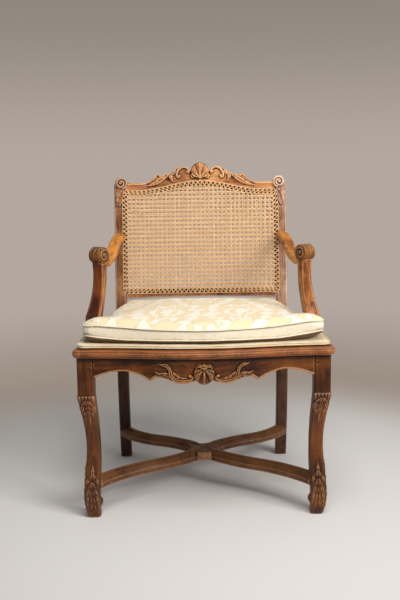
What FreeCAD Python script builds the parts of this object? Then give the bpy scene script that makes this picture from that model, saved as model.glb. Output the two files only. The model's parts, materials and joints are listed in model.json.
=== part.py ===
import FreeCAD, Part
import math
import os
import Sketcher

# Open armchair of carved and moulded walnut with a caned back and seat, a thin seat pad and a loose cushion.
# Millimetres. +Z is up, the sitter faces -Y, X = 0 is the plane of symmetry, the feet stand on Z = 0.

SIZES = {
    # seat frame
    "seat_width": 667,
    "seat_rear_width": 536,
    "seat_depth": 455,
    "front_bow": 28,
    "corner_round": 22,
    "seat_top": 447,
    "frame_thick": 22,
    "frame_nose": 10,
    "frame_overhang": 14,
    "front_member": 70,
    "side_member": 62,
    "rear_member": 34,
    # front legs
    "leg_block": 43,
    "block_height": 100,
    "leg_bevel": 5,
    "knee_height": 262,
    "knee_width": 38.5,
    "knee_set": 7.5,
    "waist_height": 192,
    "waist_width": 36.5,
    "waist_set": 12,
    "swell_height": 78,
    "swell_width": 40,
    "swell_set": 6.5,
    "foot_width": 33,
    "foot_set": 10,
    "foot_scroll_radius": 16,
    "foot_scroll_length": 28,
    "foot_scroll_height": 38,
    "foot_scroll_back": 7,
    "leg_pin_radius": 11,
    "leg_pin_length": 13,
    # rear posts and the leaning back
    "back_width": 519,
    "post_width": 33,
    "post_depth": 36,
    "post_bevel": 3.5,
    "post_shoulder": 6,
    "rear_block_drop": 62,
    "rear_kick": 42,
    "rear_kick_low": 20,
    "rear_kick_low_height": 90,
    "rear_kick_start": 250,
    "back_lean": 9,
    "stile_depth": 28,
    "ear_height": 407,
    "ear_radius": 18.5,
    "ear_inset": 5.5,
    "ear_proud": 7,
    "leaf_length": 52,
    "leaf_proud": 4,
    # front apron
    "apron_thick": 24,
    "apron_end_depth": 51,
    "apron_arch_depth": 34,
    "apron_arch_at": 205,
    "apron_cusp_depth": 57,
    "apron_cusp_at": 136,
    "apron_hollow_depth": 47.5,
    "apron_hollow_at": 114,
    "apron_belly_depth": 61.5,
    "apron_belly_at": 54,
    "apron_shell_depth": 64,
    "apron_shell_radius": 25,
    "apron_shell_half": 20,
    "apron_shell_proud": 6,
    # side and rear aprons
    "side_apron_thick": 22,
    "side_apron_depth": 52,
    "side_apron_arch": 16,
    "rear_apron_thick": 22,
    "rear_apron_set_back": 7,
    "rear_apron_depth": 48,
    "rear_apron_arch": 10,
    # back rails
    "rail_depth": 28,
    "rail_low": 59,
    "rail_height": 34,
    "rail_dip": 6,
    "crest_low": 367,
    "crest_arch": 34,
    "crest_arch_half": 190,
    "crest_end_rise": 43,
    "crest_dip_rise": 41,
    "crest_dip_at": 175,
    "crest_cusp_rise": 68.5,
    "crest_cusp_at": 131,
    "crest_notch_rise": 64,
    "crest_notch_at": 112,
    "crest_shoulder_rise": 71.5,
    "crest_shoulder_at": 84,
    "crest_scroll_rise": 89.5,
    "crest_scroll_at": 50,
    "crest_neck_rise": 77.5,
    "crest_neck_at": 33,
    "shell_half": 29,
    "shell_rise": 24.5,
    "shell_drop": 24,
    "shell_proud": 7,
    # cane
    "cane_thick": 1.8,
    "cane_lap": 10,
    "cane_rail_lap": 20,
    "cane_crest_lap": 20,
    "cane_arch": 27,
    "binder_width": 5,
    "binder_thick": 1.2,
    # arms and their supports
    "arm_rise": 246,
    "arm_width": 32,
    "arm_thick": 25,
    "arm_bevel": 7,
    "arm_splay": 4.2,
    "arm_heel": 6,
    "arm_drop": 48,
    "arm_drop_run": 252,
    "arm_lift": 34,
    "arm_lift_run": 93,
    "scroll_radius": 21,
    "scroll_length": 38,
    "scroll_turn": 35,
    "arm_pin_radius": 7,
    "arm_pin_length": 18,
    "support_set_back": 146,
    "support_inset": 6,
    "support_base": 40,
    "support_base_height": 62,
    "support_waist": 32,
    "support_head_inset": 2,
    "support_waist_height": 143,
    "support_sway": 16,
    "support_bevel": 6,
    "support_tenon": 16,
    "support_tenon_length": 13,
    "support_pin_radius": 5,
    "support_pin_length": 13,
    # stretcher
    "stretcher_width": 46,
    "stretcher_thick": 27,
    "stretcher_edge": 14,
    "stretcher_step": 3.5,
    "stretcher_crown": 9,
    "stretcher_height": 76,
    "stretcher_centre": 290,
    "stretcher_seat": 8,
    "stretcher_front_heading": 54,
    "stretcher_centre_heading": 52,
    "stretcher_rear_heading": 62,
    "hub_width": 84,
    "hub_length": 72,
    "stretcher_pin_radius": 6,
    "stretcher_pin_length": 14,
    # tenons and pegs
    "tenon_thick": 9,
    "tenon_height": 30,
    "tenon_length": 17,
    "frame_tenon_thick": 8,
    "frame_tenon_width": 18,
    "frame_tenon_length": 15,
    "peg_radius": 3.2,
    # seat pad and cushion
    "pad_thick": 8,
    "pad_inset": 15,
    "pad_gap": 2,
    "pad_corner": 18,
    "cushion_lift": 0.3,
    "cushion_inset": 18,
    "cushion_set_back": 14,
    "cushion_gap": 6,
    "cushion_corner": 30,
    "cushion_notch_round": 14,
    "cushion_under": 8,
    "cushion_box": 36,
    "cushion_crown": 22,
    "cushion_waist": 3,
    "cushion_edge_inset": 12,
    "cushion_edge_rise": 4,
    "cushion_shoulder_inset": 32,
    "cushion_shoulder_rise": 8,
    "cushion_dome_inset": 40,
    "cushion_summit_inset": 150,
}

doc = FreeCAD.newDocument("armchair")
sheet = doc.addObject("Spreadsheet::Sheet", "dims")
for row, (alias, amount) in enumerate(SIZES.items(), start=1):
    sheet.set("A%d" % row, alias)
    sheet.set("B%d" % row, str(amount))
    sheet.setAlias("B%d" % row, alias)
derived = doc.addObject("App::VarSet", "calc")
doc.recompute()


class Dim:
    """A length or ratio that carries its number and the expression that gives it."""

    def __init__(self, value, text):
        self.value = value
        self.text = text

    def _with(self, other, sign, value, swap=False):
        text = other.text if isinstance(other, Dim) else repr(float(other))
        first, second = (text, self.text) if swap else (self.text, text)
        return Dim(value, "(%s %s %s)" % (first, sign, second))

    def __add__(self, other):
        return self._with(other, "+", self.value + number(other))

    __radd__ = __add__

    def __sub__(self, other):
        return self._with(other, "-", self.value - number(other))

    def __rsub__(self, other):
        return self._with(other, "-", number(other) - self.value, swap=True)

    def __mul__(self, other):
        return self._with(other, "*", self.value * number(other))

    __rmul__ = __mul__

    def __truediv__(self, other):
        return self._with(other, "/", self.value / number(other))

    def __rtruediv__(self, other):
        return self._with(other, "/", number(other) / self.value, swap=True)

    def __neg__(self):
        return Dim(-self.value, "(-1 * %s)" % self.text)


def number(quantity):
    return quantity.value if isinstance(quantity, Dim) else float(quantity)


def size(alias):
    return Dim(float(sheet.get(alias)), "dims." + alias)


def root(quantity):
    return Dim(math.sqrt(quantity.value), "sqrt(%s)" % quantity.text)


def sine(angle):
    return Dim(math.sin(math.radians(angle.value)), "sin(%s)" % angle.text)


def cosine(angle):
    return Dim(math.cos(math.radians(angle.value)), "cos(%s)" % angle.text)


def derive(name, quantity):
    """Keep a worked-out size under its own name, for the expressions that use it."""
    derived.addProperty("App::PropertyFloat", name)
    derived.setExpression(name, quantity.text)
    return Dim(quantity.value, "calc." + name)


def bind(target, path, quantity):
    if isinstance(quantity, Dim):
        target.setExpression(path, quantity.text)


def level_arc(run, rise):
    """Radius of the arc that leaves a level line and is off it by rise after run."""
    return (run * run + rise * rise) / (rise * 2)


def serpentine(run, rise):
    """Radius of the two equal arcs of an S that starts and ends level."""
    return (run * run + rise * rise) / (rise * 4)


# Worked-out places shared by several pieces
NOUGHT = Dim(0.0, "0")
crest_peak = size("crest_low") + size("crest_neck_rise") + size("shell_rise")
back_reach = crest_peak * sine(size("back_lean")) + size("rail_depth") * cosine(size("back_lean"))
POST_FRONT = derive("post_front", (size("seat_depth") + size("front_bow") - back_reach) / 2)
FRONT = derive("front_line", POST_FRONT - size("seat_depth"))
SLOPE = derive("side_slope", (size("seat_width") - size("seat_rear_width")) / (size("seat_depth") * 2))
FRAME_UNDER = derive("frame_under", size("seat_top") - size("frame_thick"))
LEG_X = derive("leg_x", size("seat_width") / 2 - size("frame_overhang") - size("leg_block") / 2)
LEG_Y = derive("leg_y", FRONT + size("frame_overhang") + size("leg_block") / 2)
POST_X = derive("post_x", (size("back_width") - size("post_width")) / 2)
POST_INNER = derive("post_inner", size("back_width") / 2 - size("post_width"))
SUPPORT_Y = derive("support_y", FRONT + size("support_set_back"))


def half_width(back_from_front):
    """Half the seat frame's width at a distance behind its front corners."""
    return size("seat_width") / 2 - SLOPE * back_from_front


SUPPORT_X = derive("support_x", half_width(size("support_set_back"))
                   - size("support_inset") - size("support_base") / 2)


def new_body(name):
    return doc.addObject("PartDesign::Body", name)


def draw(owner, name, plane, vertices, lift=None):
    """Closed or open outline; a vertex is (x, y) or (x, y, radius), where the radius belongs to the arc
    that runs on to the next vertex, positive where it turns left and negative where it turns right."""
    sketch = owner.newObject("Sketcher::SketchObject", name)
    support = next(f for f in owner.Origin.OriginFeatures if f.Role == plane)
    sketch.AttachmentSupport = (support, [""])
    sketch.MapMode = "FlatFace"
    if lift is not None:
        sketch.AttachmentOffset = FreeCAD.Placement(FreeCAD.Vector(0, 0, number(lift)), FreeCAD.Rotation())
        bind(sketch, "AttachmentOffset.Base.z", lift)
    fill_sketch(sketch, vertices)
    return sketch


def fill_sketch(sketch, vertices, closed=True):
    count = len(vertices) if closed else len(vertices) - 1
    ends = []
    for index in range(count):
        here = vertices[index]
        there = vertices[(index + 1) % len(vertices)]
        start = FreeCAD.Vector(number(here[0]), number(here[1]), 0)
        stop = FreeCAD.Vector(number(there[0]), number(there[1]), 0)
        if len(here) == 2:
            edge = sketch.addGeometry(Part.LineSegment(start, stop), False)
            ends.append(((edge, 1), (edge, 2)))
            continue
        radius = abs(number(here[2]))
        turn = 1 if number(here[2]) > 0 else -1
        chord = stop - start
        off = math.sqrt(max(radius ** 2 - (chord.Length / 2) ** 2, 0)) * turn
        side = FreeCAD.Vector(-chord.y, chord.x, 0).normalize()
        centre = start + chord * 0.5 + side * off
        first, last = (start, stop) if turn > 0 else (stop, start)
        from_angle = math.atan2(first.y - centre.y, first.x - centre.x)
        to_angle = math.atan2(last.y - centre.y, last.x - centre.x)
        circle = Part.Circle(centre, FreeCAD.Vector(0, 0, 1), radius)
        edge = sketch.addGeometry(Part.ArcOfCircle(circle, from_angle, to_angle), False)
        ends.append(((edge, 1), (edge, 2)) if turn > 0 else ((edge, 2), (edge, 1)))
        held = sketch.addConstraint(Sketcher.Constraint("Radius", edge, radius))
        bind(sketch, "Constraints[%d]" % held, here[2] if turn > 0 else -here[2])
    for index in range(count if closed else count - 1):
        joined = ends[index][1] + ends[(index + 1) % count][0]
        sketch.addConstraint(Sketcher.Constraint("Coincident", *joined))
    for index, vertex in enumerate(vertices):
        place = ends[index][0] if index < count else ends[-1][1]
        for kind, coordinate in (("DistanceX", vertex[0]), ("DistanceY", vertex[1])):
            held = sketch.addConstraint(Sketcher.Constraint(kind, -1, 1, *place, number(coordinate)))
            bind(sketch, "Constraints[%d]" % held, coordinate)


def mirrored(half):
    """Close an outline that is given from the symmetry plane round to it again on the +X side.

    The half starts and ends at X = 0; the arcs of the other half turn the same way."""
    other = []
    for index in range(len(half) - 1, 0, -1):
        vertex = half[index]
        arc = half[index - 1][2:]
        other.append((-vertex[0] if isinstance(vertex[0], Dim) else -1 * vertex[0], vertex[1]) + arc)
    return half[:-1] + other


def pad(owner, name, sketch, length, reverse=False, both=False):
    feature = owner.newObject("PartDesign::Pad", name)
    feature.Profile = sketch
    feature.Length = number(length)
    bind(feature, "Length", length)
    feature.Reversed = reverse
    feature.Midplane = both
    return feature


def loft(owner, name, sketches, ruled=False):
    feature = owner.newObject("PartDesign::AdditiveLoft", name)
    feature.Profile = sketches[0]
    feature.Sections = sketches[1:]
    feature.Ruled = ruled
    return feature


def bevelled_rect(centre_x, centre_y, width_x, width_y, bevel):
    left, right = centre_x - width_x / 2, centre_x + width_x / 2
    front, back = centre_y - width_y / 2, centre_y + width_y / 2
    return [(left + bevel, front), (right - bevel, front), (right, front + bevel), (right, back - bevel),
            (right - bevel, back), (left + bevel, back), (left, back - bevel), (left, front + bevel)]


def place(item, x, y, z, rotation=None):
    item.Placement = FreeCAD.Placement(FreeCAD.Vector(number(x), number(y), number(z)),
                                       rotation or FreeCAD.Rotation())
    for axis, quantity in (("x", x), ("y", y), ("z", z)):
        bind(item, "Placement.Base." + axis, quantity)


def lean_rotation(extra=0):
    return FreeCAD.Rotation(FreeCAD.Vector(1, 0, 0), -(extra + number(size("back_lean"))))


def lean(item, x=0.0, deep=0.0, up=0.0, extra=0):
    """Set an item in the leaning back: deep is behind its front plane, up is along it from the seat."""
    angle = size("back_lean")
    y = POST_FRONT + up * sine(angle) + deep * cosine(angle)
    z = size("seat_top") + up * cosine(angle) - deep * sine(angle)
    place(item, x, y, z, lean_rotation(extra))
    item.setExpression("Placement.Rotation.Angle", "-1 * (%d + dims.back_lean)" % extra)


def box(name, length, width, height):
    item = doc.addObject("Part::Box", name)
    for path, quantity in (("Length", length), ("Width", width), ("Height", height)):
        setattr(item, path, number(quantity))
        bind(item, path, quantity)
    return item


def rod(name, radius, height):
    item = doc.addObject("Part::Cylinder", name)
    for path, quantity in (("Radius", radius), ("Height", height)):
        setattr(item, path, number(quantity))
        bind(item, path, quantity)
    return item


def fuse(name, items):
    item = doc.addObject("Part::MultiFuse", name)
    item.Shapes = items
    return item


def common(name, items):
    item = doc.addObject("Part::MultiCommon", name)
    item.Shapes = items
    return item


def group(name, items):
    item = doc.addObject("Part::Compound", name)
    item.Links = items
    return item


def cut(name, base, tools):
    item = doc.addObject("Part::Cut", name)
    item.Base = base
    item.Tool = tools[0] if len(tools) == 1 else group(name + "_tools", tools)
    return item


def mirror(name, source):
    item = doc.addObject("Part::Mirroring", name)
    item.Source = source
    item.Normal = FreeCAD.Vector(1, 0, 0)
    return item


def nose(owner, feature, radius, wanted):
    """Round the edges that the test picks by their middle points."""
    doc.recompute()
    names = []
    for index, edge in enumerate(feature.Shape.Edges, start=1):
        middle = edge.valueAt((edge.FirstParameter + edge.LastParameter) / 2)
        if abs(edge.tangentAt(edge.FirstParameter).z) < 0.5 and wanted(middle):
            names.append("Edge%d" % index)
    item = owner.newObject("PartDesign::Fillet", feature.Name + "_nose")
    item.Base = (feature, names)
    item.Radius = number(radius)
    bind(item, "Radius", radius)
    return item


pieces = {}


def both_sides(stem, left):
    """Hand in a left-hand piece and its mirror image."""
    pieces[stem + "_left"] = left
    pieces[stem + "_right"] = mirror(stem + "_right_piece", left)


# Tenons, pins and pegs on the left; each one is fused to its own piece and cut from the piece that takes it
def apron_tenon_height():
    return FRAME_UNDER - size("tenon_height") - size("tenon_thick") / 2


def left_tenons():
    thick, high, deep = size("tenon_thick"), size("tenon_height"), size("tenon_length")
    low = apron_tenon_height()
    leg_inner = -(LEG_X - size("leg_block") / 2)
    leg_back = LEG_Y + size("leg_block") / 2
    leg_back_run = size("frame_overhang") + size("leg_block")
    skin = size("frame_overhang") + size("side_apron_thick") / 2
    front = box("front_apron_tenon", deep, thick, high)
    place(front, leg_inner - deep, FRONT + size("frame_overhang") + (size("apron_thick") - thick) / 2, low)
    side_front = box("side_apron_front_tenon", thick, deep, high)
    place(side_front, -(half_width(leg_back_run) - skin) - thick / 2, leg_back - deep, low)
    side_rear = box("side_apron_rear_tenon", thick, deep, high)
    place(side_rear, -(half_width(size("seat_depth")) - skin) - thick / 2, POST_FRONT, low)
    rear = box("rear_apron_tenon", deep, thick, high)
    rear_face = POST_FRONT + size("post_depth") - size("rear_apron_set_back")
    place(rear, -POST_INNER - deep, rear_face - thick, low)
    rail = box("rail_tenon", deep, thick, size("rail_height") - size("tenon_thick"))
    lean(rail, -POST_INNER - deep, (size("rail_depth") - thick) / 2, size("rail_low") + thick / 2)
    crest = box("crest_tenon", deep, thick, size("crest_end_rise") - size("tenon_thick"))
    lean(crest, -POST_INNER - deep, (size("rail_depth") - thick) / 2, size("crest_low") + thick / 2)
    return {"front": front, "side_front": side_front, "side_rear": side_rear, "rear": rear,
            "rail": rail, "crest": crest}


def left_frame_tenons():
    thick, wide, deep = size("frame_tenon_thick"), size("frame_tenon_width"), size("frame_tenon_length")
    low = FRAME_UNDER + (size("frame_thick") - thick) / 2
    front = box("frame_front_tenon", wide, deep, thick)
    member_x = half_width(size("front_member")) - size("side_member") / 2
    place(front, -member_x - wide / 2, FRONT + size("front_member") - deep, low)
    side = box("frame_side_tenon", wide, deep, thick)
    place(side, -POST_X - wide / 2, POST_FRONT, low)
    rear = box("frame_rear_tenon", deep, wide / 2, thick)
    place(rear, -POST_INNER - deep, POST_FRONT + deep + thick / 2, low)
    return {"front": front, "side": side, "rear": rear}


def left_pegs():
    """Pegs driven square through each tenon from the face that shows."""
    radius = size("peg_radius")
    middle = apron_tenon_height() + size("tenon_height") / 2
    half_tenon = size("tenon_length") / 2
    leg_front = FRONT + size("frame_overhang")
    front = rod("front_apron_peg", radius, size("leg_block") / 2 + size("tenon_thick") / 2)
    place(front, -(LEG_X - size("leg_block") / 2) - half_tenon, leg_front, middle,
          FreeCAD.Rotation(FreeCAD.Vector(1, 0, 0), -90))
    rail = rod("rail_peg", radius, size("rail_depth"))
    lean(rail, -POST_INNER - half_tenon, 0.0, size("rail_low") + size("rail_height") / 2, extra=90)
    crest = rod("crest_peg", radius, size("rail_depth"))
    lean(crest, -POST_INNER - half_tenon, 0.0, size("crest_low") + size("tenon_thick") / 2
         + size("peg_radius") * 2, extra=90)
    return {"front": front, "rail": rail, "crest": crest}


tenons = left_tenons()
frame_tenons = left_frame_tenons()
pegs = left_pegs()
right_tenons = {key: mirror(item.Name + "_right", item) for key, item in tenons.items()}
right_frame_tenons = {key: mirror(item.Name + "_right", item) for key, item in frame_tenons.items()}
right_pegs = {key: mirror(item.Name + "_right", item) for key, item in pegs.items()}

leg_pin = rod("leg_pin", size("leg_pin_radius"), size("leg_pin_length"))
place(leg_pin, -LEG_X, LEG_Y, FRAME_UNDER)

support_tenon = box("support_tenon", size("support_tenon"), size("support_tenon"),
                    size("support_tenon_length"))
place(support_tenon, -SUPPORT_X - size("support_tenon") / 2, SUPPORT_Y - size("support_tenon") / 2,
      size("seat_top") - size("support_tenon_length"))

arm_pin = rod("arm_pin", size("arm_pin_radius"), size("arm_pin_length"))
lean(arm_pin, -POST_X, 0.0, size("arm_rise"), extra=90)


# Seat frame: four members with a rounded nose that overhangs the aprons
def seat_frame():
    corner = size("corner_round") * (root(SLOPE * SLOPE + 1) + SLOPE)
    flat = size("seat_width") / 2 - corner
    back_line = FRONT + size("front_member")
    run = root(SLOPE * SLOPE + 1)
    side_x = size("seat_width") / 2 - corner * SLOPE / run
    side_y = FRONT + corner / run
    wave = serpentine(flat, size("front_bow"))
    half = [(0, FRONT - size("front_bow"), wave),
            (flat / 2, FRONT - size("front_bow") / 2, -wave),
            (flat, FRONT, size("corner_round")),
            (side_x, side_y),
            (half_width(size("front_member")), back_line),
            (0, back_line)]
    front = new_body("seat_frame_front_blank")
    outline = draw(front, "front_member_outline", "XY_Plane", mirrored(half), FRAME_UNDER)
    member = pad(front, "front_member_pad", outline, size("frame_thick"))
    inner = number(back_line) - number(size("frame_nose")) / 2
    nose(front, member, size("frame_nose"), lambda middle: middle.y < inner)

    side = new_body("seat_frame_side_blank")
    rear_half = half_width(size("seat_depth"))
    front_half = half_width(size("front_member"))
    wide = size("side_member")
    outline = draw(side, "side_member_outline", "XY_Plane",
                   [(-front_half, back_line), (wide - front_half, back_line),
                    (wide - rear_half, POST_FRONT), (-rear_half, POST_FRONT)], FRAME_UNDER)
    member = pad(side, "side_member_pad", outline, size("frame_thick"))
    outer = -number(front_half + rear_half) / 2
    reach = number(wide) / 4
    nose(side, member, size("frame_nose"), lambda middle: abs(middle.x - outer) < reach
         and number(back_line) + reach < middle.y < number(POST_FRONT) - reach)

    rear = box("seat_frame_rear_blank", POST_INNER * 2, size("rear_member"), size("frame_thick"))
    place(rear, -POST_INNER, POST_FRONT, FRAME_UNDER)

    pieces["seat_frame_front"] = cut("seat_frame_front", front, [
        frame_tenons["front"], right_frame_tenons["front"], leg_pin, mirror("leg_pin_right", leg_pin)])
    side_member = cut("seat_frame_side", fuse("seat_frame_side_tenoned", [
        side, frame_tenons["front"], frame_tenons["side"]]), [support_tenon])
    both_sides("seat_frame", side_member)
    pieces["seat_frame_rear"] = fuse("seat_frame_rear", [
        rear, frame_tenons["rear"], right_frame_tenons["rear"]])


# Front legs: a square block above, then a cabriole sawn from square stock and a foot with a scroll
def front_leg_blank():
    leg = new_body("front_leg_blank")
    block_low = FRAME_UNDER - size("block_height")

    def section(name, height, width, set_in):
        shape = bevelled_rect(set_in - LEG_X, LEG_Y + set_in, width, width, size("leg_bevel"))
        return draw(leg, name, "XY_Plane", shape, height)

    block = section("leg_block_outline", block_low, size("leg_block"), NOUGHT)
    pad(leg, "leg_block_pad", block, size("block_height"))
    sections = [section("leg_foot", NOUGHT, size("foot_width"), size("foot_set"))]
    for part in ("swell", "waist", "knee"):
        sections.append(section("leg_" + part, size(part + "_height"), size(part + "_width"),
                                size(part + "_set")))
    sections.append(section("leg_top", block_low, size("leg_block"), NOUGHT))
    loft(leg, "leg_cabriole", sections)
    diagonal = math.sqrt(0.5)
    back = size("foot_scroll_back") * diagonal
    half_length = size("foot_scroll_length") * diagonal / 2
    scroll = rod("foot_scroll", size("foot_scroll_radius"), size("foot_scroll_length"))
    place(scroll, size("swell_set") - LEG_X + back - half_length,
          LEG_Y + size("swell_set") + back + half_length, size("foot_scroll_height"),
          FreeCAD.Rotation(FreeCAD.Vector(1, 1, 0), 90))
    return fuse("front_leg_carved", [leg, scroll])


# Rear posts: one piece from the floor to the scrolled ear, kicked back below and leaning above the seat
def rear_post_blank():
    post = new_body("rear_leg_blank")

    def section(name, height, kick):
        shape = bevelled_rect(-POST_X, POST_FRONT + kick + size("post_depth") / 2, size("post_width"),
                              size("post_depth"), size("post_bevel"))
        return draw(post, name, "XY_Plane", shape, height)

    block_low = FRAME_UNDER - size("rear_block_drop")
    upright = section("rear_leg_upright", size("rear_kick_start"), NOUGHT)
    pad(post, "rear_leg_upright_pad", upright, block_low - size("rear_kick_start"))
    outer, inner = -POST_X - size("post_width") / 2, size("post_width") / 2 - POST_X
    back = POST_FRONT + size("post_depth")
    block = draw(post, "rear_block_outline", "XY_Plane", [
        (outer, POST_FRONT), (inner, POST_FRONT), (inner, back), (outer, back)], block_low)
    pad(post, "rear_block_pad", block, size("seat_top") + size("post_shoulder") - block_low)
    loft(post, "rear_leg_kick", [
        section("rear_leg_foot", NOUGHT, size("rear_kick")),
        section("rear_leg_ankle", size("rear_kick_low_height"), size("rear_kick_low")),
        section("rear_leg_knee", size("rear_kick_start"), NOUGHT)])

    stile = new_body("stile_blank")
    outline = draw(stile, "stile_outline", "XY_Plane", bevelled_rect(
        -POST_X, size("stile_depth") / 2, size("post_width"), size("stile_depth"), size("post_bevel")))
    pad(stile, "stile_pad", outline, size("ear_height"))
    lean(stile)

    ear_x = -(POST_X - size("ear_inset"))
    ear = rod("ear", size("ear_radius"), size("ear_proud") + size("stile_depth"))
    lean(ear, ear_x, -size("ear_proud"), size("ear_height"), extra=90)
    leaf = new_body("ear_leaf")
    tip = size("ear_height") - size("ear_radius") - size("leaf_length")
    side = size("post_width") / 2 - size("post_bevel")
    swell = level_arc(size("leaf_length"), side)
    brow = tip + size("leaf_length")
    outline = draw(leaf, "ear_leaf_outline", "XZ_Plane", [
        (-POST_X, tip, swell), (side - POST_X, brow), (side - POST_X, size("ear_height")),
        (-side - POST_X, size("ear_height")), (-side - POST_X, brow, swell)])
    pad(leaf, "ear_leaf_pad", outline, size("leaf_proud"))
    lean(leaf)
    return fuse("rear_post_carved", [post, stile, ear, leaf]), ear, leaf


# Front apron: bowed in plan like the seat, its lower edge sawn to a shell between scrolls and two arches
def front_apron():
    end = LEG_X - size("leg_block") / 2
    face = FRONT + size("frame_overhang")
    wave = serpentine(end, size("front_bow"))
    thick = size("apron_thick")
    plan = new_body("front_apron_plan")
    outline = draw(plan, "front_apron_bow", "XY_Plane", mirrored([
        (0, face - size("front_bow"), wave), (end / 2, face - size("front_bow") / 2, -wave), (end, face),
        (end, face + thick, wave), (end / 2, face + thick - size("front_bow") / 2, -wave),
        (0, face + thick - size("front_bow"))]), FRAME_UNDER - size("apron_shell_depth") * 2)
    pad(plan, "front_apron_bow_pad", outline, size("apron_shell_depth") * 2)

    def low(part):
        return FRAME_UNDER - size("apron_%s_depth" % part)

    arch_at, cusp_at = size("apron_arch_at"), size("apron_cusp_at")
    hollow_at, belly_at = size("apron_hollow_at"), size("apron_belly_at")
    shell = size("apron_shell_radius")
    join = size("apron_shell_half")
    join_z = low("shell") + shell - root(shell * shell - join * join)
    mid_x, mid_z = (hollow_at + belly_at) / 2, (low("hollow") + low("belly")) / 2
    scroll = serpentine(hollow_at - belly_at, low("hollow") - low("belly"))
    face_outline = mirrored([
        (0, low("shell"), shell),
        (join, join_z, level_arc(belly_at - join, join_z - low("belly"))),
        (belly_at, low("belly"), scroll),
        (mid_x, mid_z, -scroll),
        (hollow_at, low("hollow"), -level_arc(cusp_at - hollow_at, low("hollow") - low("cusp"))),
        (cusp_at, low("cusp"), -level_arc(arch_at - cusp_at, low("arch") - low("cusp"))),
        (arch_at, low("arch"), -level_arc(end - arch_at, low("arch") - low("end"))),
        (end, low("end")),
        (end, FRAME_UNDER),
        (0, FRAME_UNDER)])
    profile = new_body("front_apron_profile")
    outline = draw(profile, "front_apron_outline", "XZ_Plane", face_outline)
    pad(profile, "front_apron_outline_pad", outline, size("seat_depth") * 2, both=True)
    board = common("front_apron_board", [plan, profile])
    boss = rod("apron_shell_boss", shell, thick + size("apron_shell_proud"))
    place(boss, 0.0, face - size("front_bow") - size("apron_shell_proud"), low("shell") + shell,
          FreeCAD.Rotation(FreeCAD.Vector(1, 0, 0), -90))
    pieces["front_apron"] = cut("front_apron", fuse("front_apron_tenoned", [
        board, boss, tenons["front"], right_tenons["front"]]), [pegs["front"], right_pegs["front"]])


# Side and rear aprons: plain rails under the seat frame with arched lower edges
def side_and_rear_aprons():
    leg_back_run = size("frame_overhang") + size("leg_block")
    leg_back = FRONT + leg_back_run
    thick, over = size("side_apron_thick"), size("frame_overhang")
    outer_front, outer_rear = half_width(leg_back_run) - over, half_width(size("seat_depth")) - over
    under = FRAME_UNDER - size("side_apron_depth")
    arch = level_arc((POST_FRONT - leg_back) / 2, size("side_apron_arch"))
    plan = new_body("side_apron_plan")
    outline = draw(plan, "side_apron_plan_outline", "XY_Plane", [
        (-outer_front, leg_back), (thick - outer_front, leg_back),
        (thick - outer_rear, POST_FRONT), (-outer_rear, POST_FRONT)], under)
    pad(plan, "side_apron_plan_pad", outline, size("side_apron_depth"))
    profile = new_body("side_apron_profile")
    outline = draw(profile, "side_apron_outline", "YZ_Plane", [
        (leg_back, under, -arch), (POST_FRONT, under), (POST_FRONT, FRAME_UNDER), (leg_back, FRAME_UNDER)])
    pad(profile, "side_apron_outline_pad", outline, size("seat_width") * 2, both=True)
    board = common("side_apron_board", [plan, profile])
    both_sides("side_apron", fuse("side_apron_tenoned", [board, tenons["side_front"], tenons["side_rear"]]))

    rear = new_body("rear_apron_blank")
    low = FRAME_UNDER - size("rear_apron_depth")
    arch = level_arc(POST_INNER, size("rear_apron_arch"))
    outline = draw(rear, "rear_apron_outline", "XZ_Plane", [
        (-POST_INNER, low, -arch), (POST_INNER, low), (POST_INNER, FRAME_UNDER), (-POST_INNER, FRAME_UNDER)],
        size("rear_apron_set_back") - POST_FRONT - size("post_depth"))
    pad(rear, "rear_apron_pad", outline, size("rear_apron_thick"))
    pieces["rear_apron"] = fuse("rear_apron", [rear, tenons["rear"], right_tenons["rear"]])


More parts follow.
